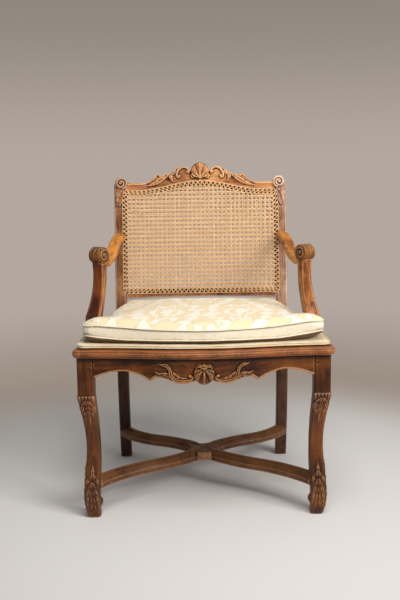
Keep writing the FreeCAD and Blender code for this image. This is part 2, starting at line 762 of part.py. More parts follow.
# Back: a carved crest rail and a bottom rail between the stiles
def back_rails(ear):
    low = size("crest_low")

    def up(part):
        return low + size("crest_%s_rise" % part)

    dip, cusp, notch = size("crest_dip_at"), size("crest_cusp_at"), size("crest_notch_at")
    shoulder, scroll, neck = size("crest_shoulder_at"), size("crest_scroll_at"), size("crest_neck_at")
    shell = size("shell_half")
    arch = serpentine(size("crest_arch_half"), size("crest_arch"))
    outline_points = mirrored([
        (0, low + size("crest_arch"), -arch),
        (size("crest_arch_half") / 2, low + size("crest_arch") / 2, arch),
        (size("crest_arch_half"), low),
        (POST_INNER, low),
        (POST_INNER, up("end")),
        (dip, up("dip"), -level_arc(dip - cusp, up("cusp") - up("dip"))),
        (cusp, up("cusp"), -level_arc(cusp - notch, up("cusp") - up("notch"))),
        (notch, up("notch")),
        (shoulder, up("shoulder"), level_arc(shoulder - scroll, up("scroll") - up("shoulder"))),
        (scroll, up("scroll"), level_arc(scroll - neck, up("scroll") - up("neck"))),
        (neck, up("neck")),
        (shell, up("neck"), level_arc(shell, size("shell_rise"))),
        (0, up("neck") + size("shell_rise"))])
    crest = new_body("crest_blank")
    outline = draw(crest, "crest_outline", "XZ_Plane", outline_points)
    pad(crest, "crest_pad", outline, size("rail_depth"), reverse=True)
    flare = level_arc(shell, size("shell_drop"))
    outline = draw(crest, "shell_outline", "XZ_Plane", [
        (shell, up("neck"), level_arc(shell, size("shell_rise"))),
        (0, up("neck") + size("shell_rise"), level_arc(shell, size("shell_rise"))),
        (-shell, up("neck"), flare), (0, up("neck") - size("shell_drop"), flare)])
    pad(crest, "shell_pad", outline, size("shell_proud"))
    lean(crest)
    pieces["crest_rail"] = cut("crest_rail", fuse("crest_tenoned", [
        cut("crest_scooped", crest, [ear, mirror("ear_right", ear)]),
        tenons["crest"], right_tenons["crest"]]), [pegs["crest"], right_pegs["crest"]])

    rail = new_body("bottom_rail_blank")
    bottom, top = size("rail_low"), size("rail_low") + size("rail_height")
    dip_arc = level_arc(POST_INNER, size("rail_dip"))
    outline = draw(rail, "bottom_rail_outline", "XZ_Plane", [
        (-POST_INNER, bottom, -dip_arc), (POST_INNER, bottom), (POST_INNER, top), (-POST_INNER, top)])
    pad(rail, "bottom_rail_pad", outline, size("rail_depth"), reverse=True)
    lean(rail)
    pieces["back_bottom_rail"] = cut("back_bottom_rail", fuse("bottom_rail_tenoned", [
        rail, tenons["rail"], right_tenons["rail"]]), [pegs["rail"], right_pegs["rail"]])


# Arms: they dip from the stile, rise again and roll over into a scroll turned outward
def arm_blank():
    angle = size("back_lean")
    arm = new_body("arm_blank")
    root_y = POST_FRONT + size("arm_rise") * sine(angle)
    root_z = size("seat_top") + size("arm_rise") * cosine(angle)
    place(arm, -POST_X, root_y, root_z, FreeCAD.Rotation(FreeCAD.Vector(0, 0, 1), -number(size("arm_splay"))))
    arm.setExpression("Placement.Rotation.Angle", "-1 * dims.arm_splay")
    drop, drop_run = size("arm_drop"), size("arm_drop_run")
    lift, lift_run = size("arm_lift"), size("arm_lift_run")
    wave = serpentine(drop_run, drop)
    end = -(drop_run + lift_run)
    path = arm.newObject("Sketcher::SketchObject", "arm_path")
    path.AttachmentSupport = (next(f for f in arm.Origin.OriginFeatures if f.Role == "YZ_Plane"), [""])
    path.MapMode = "FlatFace"
    heel = size("arm_heel")
    fill_sketch(path, [
        (heel, 0), (0, 0, wave), (-drop_run / 2, -drop / 2, -wave),
        (-drop_run, -drop, -level_arc(lift_run, lift)), (end, lift - drop)], closed=False)
    profile = draw(arm, "arm_section", "XZ_Plane", bevelled_rect(
        NOUGHT, NOUGHT, size("arm_width"), size("arm_thick"), size("arm_bevel")), -heel)
    sweep = arm.newObject("PartDesign::AdditivePipe", "arm_sweep")
    sweep.Profile = profile
    sweep.Spine = (path, [])
    span = lift_run * lift_run + lift * lift
    rise_sine, rise_cosine = lift * lift_run * 2 / span, (lift_run * lift_run - lift * lift) / span
    offset = size("scroll_radius") - size("arm_thick") / 2
    forward = drop_run + lift_run + offset * rise_sine
    above = lift - drop - offset * rise_cosine
    splay = size("arm_splay")
    centre_x = derive("scroll_x", -POST_X - forward * sine(splay))
    centre_y = derive("scroll_y", root_y - forward * cosine(splay))
    centre_z = derive("scroll_z", root_z + above)
    turn = size("scroll_turn")
    half = size("scroll_length") / 2
    across = FreeCAD.Rotation(FreeCAD.Vector(0, 1, 0), 90)
    swivel = FreeCAD.Rotation(FreeCAD.Vector(0, 0, 1), -number(turn))
    scroll = rod("arm_scroll", size("scroll_radius"), size("scroll_length"))
    place(scroll, centre_x - half * cosine(turn), centre_y + half * sine(turn), centre_z,
          swivel.multiply(across))
    return fuse("arm_carved", [arm, scroll]), (centre_x, centre_y, centre_z)


def arm_support_blank(scroll_centre):
    support = new_body("arm_support_blank")
    x, y, z = scroll_centre
    base, waist = size("support_base"), size("support_waist")
    foot = size("seat_top")
    sway = size("support_sway")

    def section(name, height, centre_x, centre_y, width, depth, turn=0.0):
        """A section about its own middle, turned in plan."""
        shape = bevelled_rect(NOUGHT, NOUGHT, width, depth, size("support_bevel"))
        sketch = draw(support, name, "XY_Plane", shape, height)
        sketch.AttachmentOffset = FreeCAD.Placement(
            FreeCAD.Vector(number(centre_x), number(centre_y), number(height)),
            FreeCAD.Rotation(FreeCAD.Vector(0, 0, 1), -turn))
        bind(sketch, "AttachmentOffset.Base.x", centre_x)
        bind(sketch, "AttachmentOffset.Base.y", centre_y)
        return sketch

    shoulder = foot + size("support_base_height")
    side_turn = math.degrees(math.atan(number(SLOPE)))
    foot_section = section("support_foot", foot, -SUPPORT_X, SUPPORT_Y, base, base, side_turn)
    pad(support, "support_foot_pad", foot_section, size("support_base_height"))
    loft(support, "support_sweep", [
        section("support_shoulder", shoulder, -SUPPORT_X, SUPPORT_Y, base, base, side_turn),
        section("support_waist_section", foot + size("support_waist_height"), sway - SUPPORT_X,
                SUPPORT_Y + sway / 2, waist, waist, side_turn),
        section("support_head_section", z - size("scroll_radius") / 2, x, y,
                size("scroll_length") - size("support_head_inset") * 2, waist,
                number(size("scroll_turn")))])
    return support


# Cross stretcher: two serpentine moulded rails halved across each other at the hub
def along(heading):
    """Level direction at a heading in degrees from +X."""
    return FreeCAD.Vector(math.cos(math.radians(heading)), math.sin(math.radians(heading)), 0)


def biarc(start, heading, stop, final):
    """Two tangent arcs from one heading to another; gives the point where they meet."""
    first = along(heading)
    last = along(final)
    chord = stop - start
    both = first + last
    square = both.dot(both) - 4
    linear = -2 * chord.dot(both)
    if abs(square) < 1e-9:
        reach = -chord.dot(chord) / linear
    else:
        reach = (-linear - math.sqrt(linear ** 2 - 4 * square * chord.dot(chord))) / (2 * square)
        if reach < 0:
            reach = (-linear + math.sqrt(linear ** 2 - 4 * square * chord.dot(chord))) / (2 * square)
    return (start + stop + (first - last) * reach) * 0.5


def tangent_arc(start, heading, stop):
    """Arc from start along heading to stop, and the heading at its end."""
    chord = stop - start
    swing = math.degrees(math.atan2(chord.dot(along(heading + 90)), chord.dot(along(heading))))
    reach = chord.Length / (2 * math.cos(math.radians(swing / 2)))
    middle = start + along(heading + swing / 2) * reach
    return Part.Arc(start, middle, stop).toShape(), heading + 2 * swing


def stretcher_rail():
    low = size("stretcher_height")
    centre_y = FRONT + size("stretcher_centre")
    leg = FreeCAD.Vector(-number(LEG_X - size("swell_set")), number(LEG_Y + size("swell_set")), number(low))
    hub = FreeCAD.Vector(0, number(centre_y), number(low))
    rear = FreeCAD.Vector(number(POST_X), number(POST_FRONT + size("rear_kick_low") + size("post_depth") / 2),
                          number(low))
    front_heading = number(size("stretcher_front_heading"))
    hub_heading = number(size("stretcher_centre_heading"))
    rear_heading = number(size("stretcher_rear_heading"))
    begin = leg + along(front_heading) * number(size("stretcher_seat"))
    end = rear - along(rear_heading) * number(size("stretcher_seat"))
    edges = []
    for start, heading, stop, final in ((begin, front_heading, hub, hub_heading),
                                        (hub, hub_heading, end, rear_heading)):
        meeting = biarc(start, heading, stop, final)
        first, turned = tangent_arc(start, heading, meeting)
        second, turned = tangent_arc(meeting, turned, stop)
        edges += [first, second]
    path = doc.addObject("Part::Feature", "stretcher_path")
    path.Shape = Part.Wire(edges)

    half, thick, edge = size("stretcher_width") / 2, size("stretcher_thick"), size("stretcher_edge")
    step, crown = size("stretcher_step"), size("stretcher_crown")
    shelf = edge + step
    ledge = thick - step
    profile = doc.addObject("Sketcher::SketchObject", "stretcher_section")
    fill_sketch(profile, mirrored([
        (0, 0), (half, 0), (half, edge), (half - step, edge), (half - step, shelf),
        ((half + crown) / 2, shelf + (ledge - shelf) / 3), (crown + step, ledge), (crown, ledge),
        (crown / 2, thick), (0, thick)]))
    upright = FreeCAD.Rotation(FreeCAD.Vector(1, 0, 0), 90)
    facing = FreeCAD.Rotation(FreeCAD.Vector(0, 0, 1), front_heading - 90)
    profile.Placement = FreeCAD.Placement(begin, facing.multiply(upright))
    sweep = doc.addObject("Part::Sweep", "stretcher_sweep")
    sweep.Sections = [profile]
    sweep.Spine = (path, ["Edge%d" % (index + 1) for index in range(len(edges))])
    sweep.Solid = True

    def pin(name, point, heading, inward):
        item = rod(name, size("stretcher_pin_radius"), size("stretcher_pin_length") + size("leg_block") / 2)
        turn = FreeCAD.Rotation(FreeCAD.Vector(0, 0, 1), heading if inward else heading + 180)
        across = FreeCAD.Rotation(FreeCAD.Vector(0, 1, 0), 90)
        lift = FreeCAD.Vector(0, 0, number(edge) / 2)
        item.Placement = FreeCAD.Placement(point + lift, turn.multiply(across))
        return item

    front_pin = pin("stretcher_front_pin", leg, front_heading, True)
    rear_pin = pin("stretcher_rear_pin", rear, rear_heading, False)
    return sweep, front_pin, rear_pin


def cross_stretcher(sweep, front_pin, rear_pin, leg, post):
    """Rail A runs front left to rear right and laps over rail B, its mirror image."""
    leg_right, post_right = mirror("front_leg_right_blank", leg), mirror("rear_post_right_blank", post)
    boss = box("stretcher_boss", size("hub_width"), size("hub_length"), size("stretcher_edge"))
    boss_top = size("stretcher_height") + size("stretcher_thick") - size("stretcher_step")
    place(boss, -size("hub_width") / 2, FRONT + size("stretcher_centre") - size("hub_length") / 2,
          boss_top - size("stretcher_edge"))
    over = fuse("stretcher_over_blank", [
        cut("stretcher_over_trimmed", sweep, [leg, post_right]), boss, front_pin, rear_pin])
    under_sweep = mirror("stretcher_under_sweep", sweep)
    lap = box("stretcher_lap", size("hub_length") * 2, size("hub_length") * 2, size("stretcher_edge"))
    place(lap, -size("hub_length"), FRONT + size("stretcher_centre") - size("hub_length"),
          size("stretcher_height") - size("stretcher_step"))
    over_rail = cut("stretcher_over", over, [common("stretcher_halving", [under_sweep, lap])])
    pieces["stretcher_left_to_right"] = over_rail
    under = fuse("stretcher_under_blank", [
        cut("stretcher_under_trimmed", under_sweep, [leg_right, post]),
        mirror("stretcher_front_pin_right", front_pin), mirror("stretcher_rear_pin_mirrored", rear_pin)])
    pieces["stretcher_right_to_left"] = cut("stretcher_under", under, [over_rail])


# Cane: woven panels on the front and back of the frame and on the seat, with a binder over the holes
def cane_outline(inset):
    side = POST_INNER + size("cane_lap") - inset
    low = size("rail_low") + size("rail_height") - size("cane_rail_lap") + inset
    high = size("crest_low") + size("cane_crest_lap") - inset
    arch = serpentine(size("crest_arch_half"), size("cane_arch"))
    return mirrored([
        (0, low), (side, low), (side, high), (size("crest_arch_half"), high, -arch),
        (size("crest_arch_half") / 2, high + size("cane_arch") / 2, arch),
        (0, high + size("cane_arch"))])


def back_sheet(name, inset, deep, thick):
    """A sheet of the back; deep is where its front lies, behind the back's front plane."""
    sheet_body = new_body(name)
    outline = draw(sheet_body, name + "_outline", "XZ_Plane", cane_outline(inset), -deep)
    pad(sheet_body, name + "_pad", outline, thick, reverse=True)
    lean(sheet_body)
    return sheet_body


def back_cane(carved):
    """The front cane stops at the arms and at the carved leaves of the stiles."""
    thick, binder = size("cane_thick"), size("binder_thick")
    stops = carved + [mirror(item.Name + "_right_stop", item) for item in carved]
    behind = size("rail_depth")
    front = back_sheet("cane_front_sheet", NOUGHT, -thick, thick)
    pieces["back_cane_front"] = cut("back_cane_front", front, stops)
    pieces["back_cane_rear"] = back_sheet("back_cane_rear", NOUGHT, behind, thick)
    rings = []
    for name, deep in (("front", -thick - binder), ("rear", behind + thick)):
        outer = back_sheet("binder_%s_outer" % name, NOUGHT, deep, binder)
        inner = back_sheet("binder_%s_inner" % name, size("binder_width"), deep, binder)
        tools = [inner] + stops if name == "front" else [inner]
        rings.append(cut("binder_%s" % name, outer, tools))
    pieces["back_cane_binder"] = group("back_cane_binder", rings)


def seat_cane():
    lap = size("cane_lap")
    front_y = FRONT + size("front_member") - lap
    rear_y = POST_FRONT + lap
    front_half = half_width(size("front_member")) - size("side_member") + lap
    rear_half = half_width(size("seat_depth")) - size("side_member") + lap

    def panel(name, inset, lift, thick):
        item = new_body(name)
        outline = draw(item, name + "_outline", "XY_Plane", [
            (inset - front_half, front_y + inset), (front_half - inset, front_y + inset),
            (rear_half - inset, rear_y - inset), (inset - rear_half, rear_y - inset)], lift)
        pad(item, name + "_pad", outline, thick)
        return item

    above = size("seat_top") + size("cane_thick")
    pieces["seat_cane"] = panel("seat_cane", NOUGHT, size("seat_top"), size("cane_thick"))
    outer = panel("seat_binder_outer", NOUGHT, above, size("binder_thick"))
    inner = panel("seat_binder_inner", size("binder_width"), above, size("binder_thick"))
    pieces["seat_cane_binder"] = cut("seat_cane_binder", outer, [inner])


# Seat pad and cushion: both have wings in front of the arm supports and are notched behind them
def winged_outline(inset, set_back, gap, corner, notch_round):
    half = size("seat_width") / 2 - inset
    flat = half - corner
    front_y = FRONT + set_back
    wave = serpentine(flat, size("front_bow"))
    wing_y = SUPPORT_Y - size("support_base") / 2 - gap
    notch_x = SUPPORT_X - size("support_base") / 2 - gap
    rear_y = POST_FRONT - gap
    rear_x = notch_x - SLOPE * (rear_y - wing_y)
    return mirrored([
        (0, front_y - size("front_bow"), wave), (flat / 2, front_y - size("front_bow") / 2, -wave),
        (flat, front_y, corner), (half, front_y + corner), (half, wing_y - corner / 2, corner / 2),
        (half - corner / 2, wing_y), (notch_x + notch_round, wing_y, -notch_round),
        (notch_x, wing_y + notch_round), (rear_x, rear_y - corner, corner), (rear_x - corner, rear_y),
        (0, rear_y)])


def seat_pad():
    item = new_body("seat_pad")
    outline = draw(item, "seat_pad_outline", "XY_Plane", winged_outline(
        size("pad_inset"), size("pad_inset"), size("pad_gap"), size("pad_corner"), size("pad_corner") / 2),
        size("seat_top") + size("cane_thick") + size("binder_thick"))
    pad(item, "seat_pad_pad", outline, size("pad_thick"))
    pieces["seat_pad"] = item


def cushion():
    """Boxed cushion: its sides are drawn in between the seams and its top rises to a crown."""
    item = new_body("seat_cushion")
    rest = (size("seat_top") + size("cane_thick") + size("binder_thick") + size("pad_thick")
            + size("cushion_lift"))
    under, boxing, gap = size("cushion_under"), size("cushion_box"), size("cushion_gap")
    corner, set_back = size("cushion_corner"), size("cushion_set_back")

    def section(name, height, inset):
        return draw(item, name, "XY_Plane", winged_outline(
            size("cushion_inset") + inset, set_back + inset, gap + inset, corner,
            size("cushion_notch_round")), height)

    def dome(name, height, inset):
        half = SUPPORT_X - size("support_base") / 2 - gap - inset
        front_y, rear_y = FRONT + set_back + inset, POST_FRONT - gap - inset
        rear_half = half - SLOPE * (rear_y - front_y)
        return draw(item, name, "XY_Plane", mirrored([
            (0, front_y), (half - corner, front_y, corner), (half, front_y + corner),
            (rear_half, rear_y - corner, corner), (rear_half - corner, rear_y), (0, rear_y)]), height)

    seam = rest + under
    top_seam = seam + boxing
    shoulder = top_seam + size("cushion_shoulder_rise")
    loft(item, "cushion_underside", [
        section("cushion_bottom", rest, under), section("cushion_bottom_seam", seam, NOUGHT)], ruled=True)
    loft(item, "cushion_boxing", [
        section("cushion_boxing_low", seam, NOUGHT),
        section("cushion_boxing_waist", seam + boxing / 2, size("cushion_waist")),
        section("cushion_boxing_high", top_seam, NOUGHT)], ruled=True)
    loft(item, "cushion_top", [
        section("cushion_top_seam", top_seam, NOUGHT),
        section("cushion_edge", top_seam + size("cushion_edge_rise"), size("cushion_edge_inset")),
        section("cushion_shoulder", shoulder, size("cushion_shoulder_inset"))], ruled=True)
    loft(item, "cushion_dome", [
        dome("cushion_dome_base", shoulder, size("cushion_dome_inset")),
        dome("cushion_summit", top_seam + size("cushion_crown"), size("cushion_summit_inset"))], ruled=True)
    pieces["seat_cushion"] = item


def carcase():
    """Legs, posts, arms and stretcher, each trimmed to the pieces that it meets."""
    leg = front_leg_blank()
    post, ear, leaf = rear_post_blank()
    arm, scroll_centre = arm_blank()
    support = arm_support_blank(scroll_centre)
    sweep, front_pin, rear_pin = stretcher_rail()
    x, y, z = scroll_centre
    support_pin = rod("support_pin", size("support_pin_radius"),
                      size("support_pin_length") + size("scroll_radius"))
    place(support_pin, x, y, z + size("support_pin_length") - size("scroll_radius") * 2)
    both_sides("front_leg", fuse("front_leg_pinned", [
        cut("front_leg", leg, [tenons["front"], tenons["side_front"], pegs["front"], front_pin]), leg_pin]))
    rear_pin_left = mirror("stretcher_rear_pin_in_left", rear_pin)
    both_sides("rear_post", cut("rear_post", post, [
        tenons["side_rear"], tenons["rear"], tenons["rail"], tenons["crest"], frame_tenons["side"],
        frame_tenons["rear"], arm_pin, pegs["rail"], pegs["crest"], rear_pin_left]))
    arm_fitted = fuse("arm_pinned", [cut("arm_shouldered", arm, [post]), arm_pin])
    both_sides("arm", cut("arm", arm_fitted, [support_pin]))
    both_sides("arm_support", fuse("arm_support_pinned", [
        cut("arm_support_coped", support, [arm]), support_tenon, support_pin]))
    cross_stretcher(sweep, front_pin, rear_pin, leg, post)
    back_rails(ear)
    back_cane([arm, leaf])


seat_frame()
front_apron()
side_and_rear_aprons()
carcase()
seat_cane()
seat_pad()
cushion()
pieces["joint_pegs"] = group("joint_pegs", list(pegs.values()) + list(right_pegs.values()))

doc.recompute()
for item in doc.Objects:
    if "Invalid" in item.State or "Error" in item.State:
        raise RuntimeError("%s did not build" % item.Name)
for node, item in pieces.items():
    item.Label = node
    if item.Shape.isNull() or not item.Shape.isValid():
        raise RuntimeError("%s has no valid shape" % node)

os.makedirs("parts", exist_ok=True)
for node, item in pieces.items():
    item.Shape.exportStep("parts/%s.step" % node)
    print("%-26s %d solids %10.1f mm3" % (node, len(item.Shape.Solids), item.Shape.Volume))
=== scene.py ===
import json
import math
from functools import partialmethod

import bmesh
import bpy
import numpy as np
from mathutils import Matrix, Vector
from mathutils.bvhtree import BVHTree
from mathutils.kdtree import KDTree


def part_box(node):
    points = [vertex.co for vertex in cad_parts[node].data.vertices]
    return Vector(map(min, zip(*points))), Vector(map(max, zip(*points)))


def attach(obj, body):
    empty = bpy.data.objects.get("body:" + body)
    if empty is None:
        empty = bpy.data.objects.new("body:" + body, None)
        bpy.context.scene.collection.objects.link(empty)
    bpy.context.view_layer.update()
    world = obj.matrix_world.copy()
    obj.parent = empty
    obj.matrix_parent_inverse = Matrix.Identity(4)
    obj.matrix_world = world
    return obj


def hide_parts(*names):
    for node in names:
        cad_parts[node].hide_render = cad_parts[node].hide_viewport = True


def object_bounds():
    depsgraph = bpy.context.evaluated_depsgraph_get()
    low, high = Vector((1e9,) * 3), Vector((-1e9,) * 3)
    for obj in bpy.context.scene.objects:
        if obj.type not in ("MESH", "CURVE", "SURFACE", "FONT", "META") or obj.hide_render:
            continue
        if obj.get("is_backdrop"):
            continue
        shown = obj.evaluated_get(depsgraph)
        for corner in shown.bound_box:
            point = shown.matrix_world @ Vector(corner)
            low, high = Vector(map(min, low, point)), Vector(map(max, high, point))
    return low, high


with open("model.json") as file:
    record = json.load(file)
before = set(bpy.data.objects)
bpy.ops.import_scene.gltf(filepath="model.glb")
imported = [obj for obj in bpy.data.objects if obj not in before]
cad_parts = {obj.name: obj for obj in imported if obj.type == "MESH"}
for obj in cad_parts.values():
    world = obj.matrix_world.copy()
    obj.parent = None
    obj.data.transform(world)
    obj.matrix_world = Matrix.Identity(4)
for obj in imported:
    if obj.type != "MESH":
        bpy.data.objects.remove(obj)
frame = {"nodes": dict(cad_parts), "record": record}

# Carved walnut armchair with a caned back and seat, a piped seat pad and a loose damask cushion.
# Metres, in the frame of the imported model. Relief sizes are in millimetres, as a carver reads them.

CAD_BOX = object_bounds()
MM = 0.001

# Places taken from the frame
SEAT_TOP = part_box("seat_frame_front")[1][2]
FRAME_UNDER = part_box("seat_frame_front")[0][2]
POST_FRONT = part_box("rear_post_left")[0][1]
CANE_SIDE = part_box("back_cane_front")[1][0]
BACK_LEAN = math.radians(9)

# The back, in millimetres along its lean from the seat top
CANE_LOW = 73
CANE_HIGH = 387
CANE_ARCH = 27
CREST_ARCH_HALF = 190
POST_CENTRE = 243
EAR_CENTRE = (237.5, 407)
RAIL_DEPTH = 28


# Small numeric tools
def fade(value, low, high):
    """Smooth step from 0 at low to 1 at high."""
    share = np.clip((value - low) / (high - low), 0, 1)
    return share * share * (3 - 2 * share)


def band(value, low, high, soft):
    return fade(value, low - soft, low + soft) * (1 - fade(value, high - soft, high + soft))


def spiral(centre, radius, end_radius, start, turn, count=28):
    """Points of a curl, from its open end to its eye; angles in degrees."""
    share = np.linspace(0, 1, count)
    angle = np.radians(start + turn * share)
    reach = radius + (end_radius - radius) * share
    return np.stack([centre[0] + reach * np.cos(angle), centre[1] + reach * np.sin(angle)], axis=1)


def smooth_line(points, count=30):
    """A rounded line through a few points."""
    points = np.array(points, dtype=float)
    ends = np.vstack([2 * points[0] - points[1], points, 2 * points[-1] - points[-2]])
    share = np.linspace(0, len(points) - 1, count)
    index = np.minimum(share.astype(int), len(points) - 2)
    t = (share - index)[:, None]
    a, b, c, d = (ends[index + k] for k in range(4))
    bend = (2 * a - 5 * b + 4 * c - d) * t ** 2
    twist = (3 * b - a - 3 * c + d) * t ** 3
    return 0.5 * (2 * b + (c - a) * t + bend + twist)


def follow(line, u, v, reach):
    """Distance to a line, the share of its length and the side, for the points within reach of it."""
    low, high = line.min(axis=0) - reach, line.max(axis=0) + reach
    near = np.nonzero((u > low[0]) & (u < high[0]) & (v > low[1]) & (v < high[1]))[0]
    points = np.stack([u[near], v[near]], axis=1)
    steps = np.diff(line, axis=0)
    lengths = np.hypot(steps[:, 0], steps[:, 1])
    total = lengths.sum()
    best = np.full(len(near), 1e9)
    share = np.zeros(len(near))
    side = np.zeros(len(near))
    walked = 0.0
    for start, step, length in zip(line[:-1], steps, lengths):
        if length == 0:
            continue
        away = points - start
        t = np.clip((away @ step) / length ** 2, 0, 1)
        gap = away - t[:, None] * step
        distance = np.hypot(gap[:, 0], gap[:, 1])
        closer = distance < best
        best[closer] = distance[closer]
        share[closer] = (walked + t[closer] * length) / total
        side[closer] = np.sign(step[0] * gap[closer, 1] - step[1] * gap[closer, 0])
        walked += length
    return near, best, share, side


class Relief:
    """Carving drawn on a flat chart: each stroke raises the ground and the highest one counts."""

    def __init__(self, u, v):
        self.u = u
        self.v = v
        self.height = np.zeros(len(u))

    def raise_to(self, near, height):
        self.height[near] = np.maximum(self.height[near], height)

    def bead(self, line, width, height):
        near, gap, _, _ = follow(line, self.u, self.v, width)
        self.raise_to(near, height * np.sqrt(np.clip(1 - (gap / width) ** 2, 0, 1)))

    def scroll(self, line, width, height, thin=0.4):
        """A C-scroll: thick in its belly and thin at its ends, with a hollow run along its inner side."""
        near, gap, share, side = follow(line, self.u, self.v, width)
        wide = width * (thin + (1 - thin) * np.sin(np.pi * np.clip(share, 0, 1)) ** 0.7)
        across = gap / wide
        hollow = 0.4 * np.exp(-((side * across - 0.15) / 0.26) ** 2)
        self.raise_to(near, height * np.sqrt(np.clip(1 - across ** 2, 0, 1)) * (1 - hollow))

    def leaf(self, through, width, height, lobes=4, tip=0.15):
        """An acanthus leaf: a sunk midrib, a lobed edge and fluted lobes that sweep to the tip."""
        near, gap, share, side = follow(smooth_line(through), self.u, self.v, width)
        body = np.sin(np.pi * np.clip(share * 0.82 + 0.18, 0, 1)) ** 0.6 * (1 - (1 - tip) * share ** 3)
        ripple = 0.5 + 0.5 * np.cos(2 * np.pi * lobes * share + 0.6 * side)
        edge = width * body * (0.72 + 0.28 * ripple)
        across = gap / np.maximum(edge, 1e-6)
        dome = np.clip(1 - across ** 2, 0, 1) ** 0.5
        rib = 0.55 + 0.45 * fade(across, 0.05, 0.3)
        flute = 1 - 0.35 * (0.5 - 0.5 * np.cos(2 * np.pi * lobes * (share - 0.16 * across)))
        self.raise_to(near, height * dome * rib * flute)

    def knob(self, centre, radius, height):
        gap = np.hypot(self.u - centre[0], self.v - centre[1])
        near = np.nonzero(gap < radius)[0]
        self.raise_to(near, height * np.sqrt(1 - (gap[near] / radius) ** 2))

    def shell(self, root, half, rise, height, flutes, spread=1.25):
        """A scallop: flutes fan out from the root and end in a lobed rim."""
        du, dv = self.u - root[0], (self.v - root[1]) * np.sign(rise)
        angle = np.arctan2(du, dv)
        reach = np.hypot(du / half, dv / abs(rise))
        ridge = np.abs(np.cos(angle * flutes / 2)) ** 0.6
        rim = 1 - 0.08 * (1 - ridge)
        swell = np.sqrt(np.clip(1 - (reach / rim) ** 5, 0, 1)) * (0.5 + 0.5 * np.clip(reach * 1.4, 0, 1))
        lift = height * swell * (0.2 + 0.8 * np.where(reach > 0.2, ridge, 1))
        near = np.nonzero((reach < rim) & (np.abs(angle) < spread))[0]
        self.raise_to(near, lift[near])


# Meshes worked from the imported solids
def link(name, mesh):
    obj = bpy.data.objects.new(name, mesh)
    bpy.context.scene.collection.objects.link(obj)
    return obj


def evaluated_copy(obj):
    graph = bpy.context.evaluated_depsgraph_get()
    shown = obj.evaluated_get(graph)
    return bpy.data.meshes.new_from_object(shown, preserve_all_data_layers=True, depsgraph=graph)


def with_modifier(mesh, kind, **settings):
    """The mesh after one modifier."""
    obj = link("working", mesh)
    modifier = obj.modifiers.new(kind, kind)
    for key, value in settings.items():
        setattr(modifier, key, value)
    result = evaluated_copy(obj)
    bpy.data.objects.remove(obj)
    return result


def remeshed(node, voxel, block=None):
    """The solid's surface in even small faces; a block, given by two corners, can be joined on."""
    mesh = frame["nodes"][node].data.copy()
    if block is not None:
        low, high = Vector(block[0]), Vector(block[1])
        shape = bmesh.new()
        shape.from_mesh(mesh)
        middle = Matrix.Translation((low + high) / 2) @ Matrix.Diagonal((*(high - low), 1))
        bmesh.ops.create_cube(shape, size=1, matrix=middle)
        shape.to_mesh(mesh)
        shape.free()
    return with_modifier(mesh, "REMESH", mode="VOXEL", voxel_size=voxel * MM)


def read(items, key, width, kind=np.float32):
    flat = np.empty(len(items) * width, dtype=kind)
    items.foreach_get(key, flat)
    return flat.reshape(-1, width)


def vertices_of(mesh):
    return read(mesh.vertices, "co", 3).astype(float)


def normals_of(mesh):
    return read(mesh.vertex_normals, "vector", 3).astype(float)


def edges_of(mesh):
    return read(mesh.edges, "vertices", 2, np.int32)


def relaxed(points, edges, rounds, weight=0.5):
    """Each point drawn towards the middle of its neighbours."""
    count = np.bincount(edges.ravel(), minlength=len(points))[:, None]
    first, second = edges[:, 0], edges[:, 1]
    for _ in range(rounds):
        total = np.stack([np.bincount(first, points[second, k], len(points))
                          + np.bincount(second, points[first, k], len(points)) for k in range(3)], axis=1)
        points = points + weight * (total / np.maximum(count, 1) - points)
    return points


def put_vertices(mesh, points):
    mesh.vertices.foreach_set("co", points.astype(np.float32).ravel())
    mesh.update()


def put_attribute(mesh, name, values):
    layer = mesh.attributes.new(name, "FLOAT", "POINT")
    layer.data.foreach_set("value", values.astype(np.float32))


def shade_smooth(mesh):
    mesh.polygons.foreach_set("use_smooth", np.ones(len(mesh.polygons), dtype=bool))


def slot_of(node):
    return next(part["material_slot"] for part in frame["record"]["subparts"] if part["node"] == node)


def mesh_of(name, points, faces):
    mesh = bpy.data.meshes.new(name)
    mesh.from_pydata(points, [], faces)
    mesh.update()
    return mesh


def piece(name, mesh, finish, body, node, replaces=False):
    """A finished mesh that rides a body and can show in place of the solid it is given."""
    shade_smooth(mesh)
    mesh.materials.clear()
    mesh.materials.append(finish)
    obj = link(name, mesh)
    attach(obj, body)
    if replaces:
        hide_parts(node)
    slot_of(node)
    return obj


MELT_ROUNDS = 110
RISE_ROUNDS = 14
RISE_LIMIT = 2


def worked(node, finish, voxel, keep, soften=2, relief=None, block=None, melt=None):
    """A wooden piece: the solid's own surface, softened, carved and marked for wear on its ridges and for
    dirt and painted shade in its hollows.
    """
    mesh = remeshed(node, voxel, block)
    edges = edges_of(mesh)
    points = relaxed(vertices_of(mesh), edges, soften)
    if melt is not None:
        points += melt(points)[:, None] * (relaxed(points, edges, MELT_ROUNDS) - points)
    put_vertices(mesh, points)
    normals = normals_of(mesh)
    if relief is not None:
        points = points + normals * relief(points / MM, normals)[:, None] * MM
        put_vertices(mesh, points)
        normals = normals_of(mesh)
    rise = np.einsum("ij,ij->i", points - relaxed(points, edges, RISE_ROUNDS), normals) / MM
    put_attribute(mesh, "rise", np.clip(rise, -RISE_LIMIT, RISE_LIMIT))
    piece(node + "_carved", with_modifier(mesh, "DECIMATE", ratio=keep), finish, "frame", node, True)


# Finishes
def srgb(red, green, blue):
    """Linear colour of a screen colour from 0 to 255."""
    def linear(level):
        level /= 255
        return level / 12.92 if level <= 0.04045 else ((level + 0.055) / 1.055) ** 2.4
    return linear(red), linear(green), linear(blue), 1.0


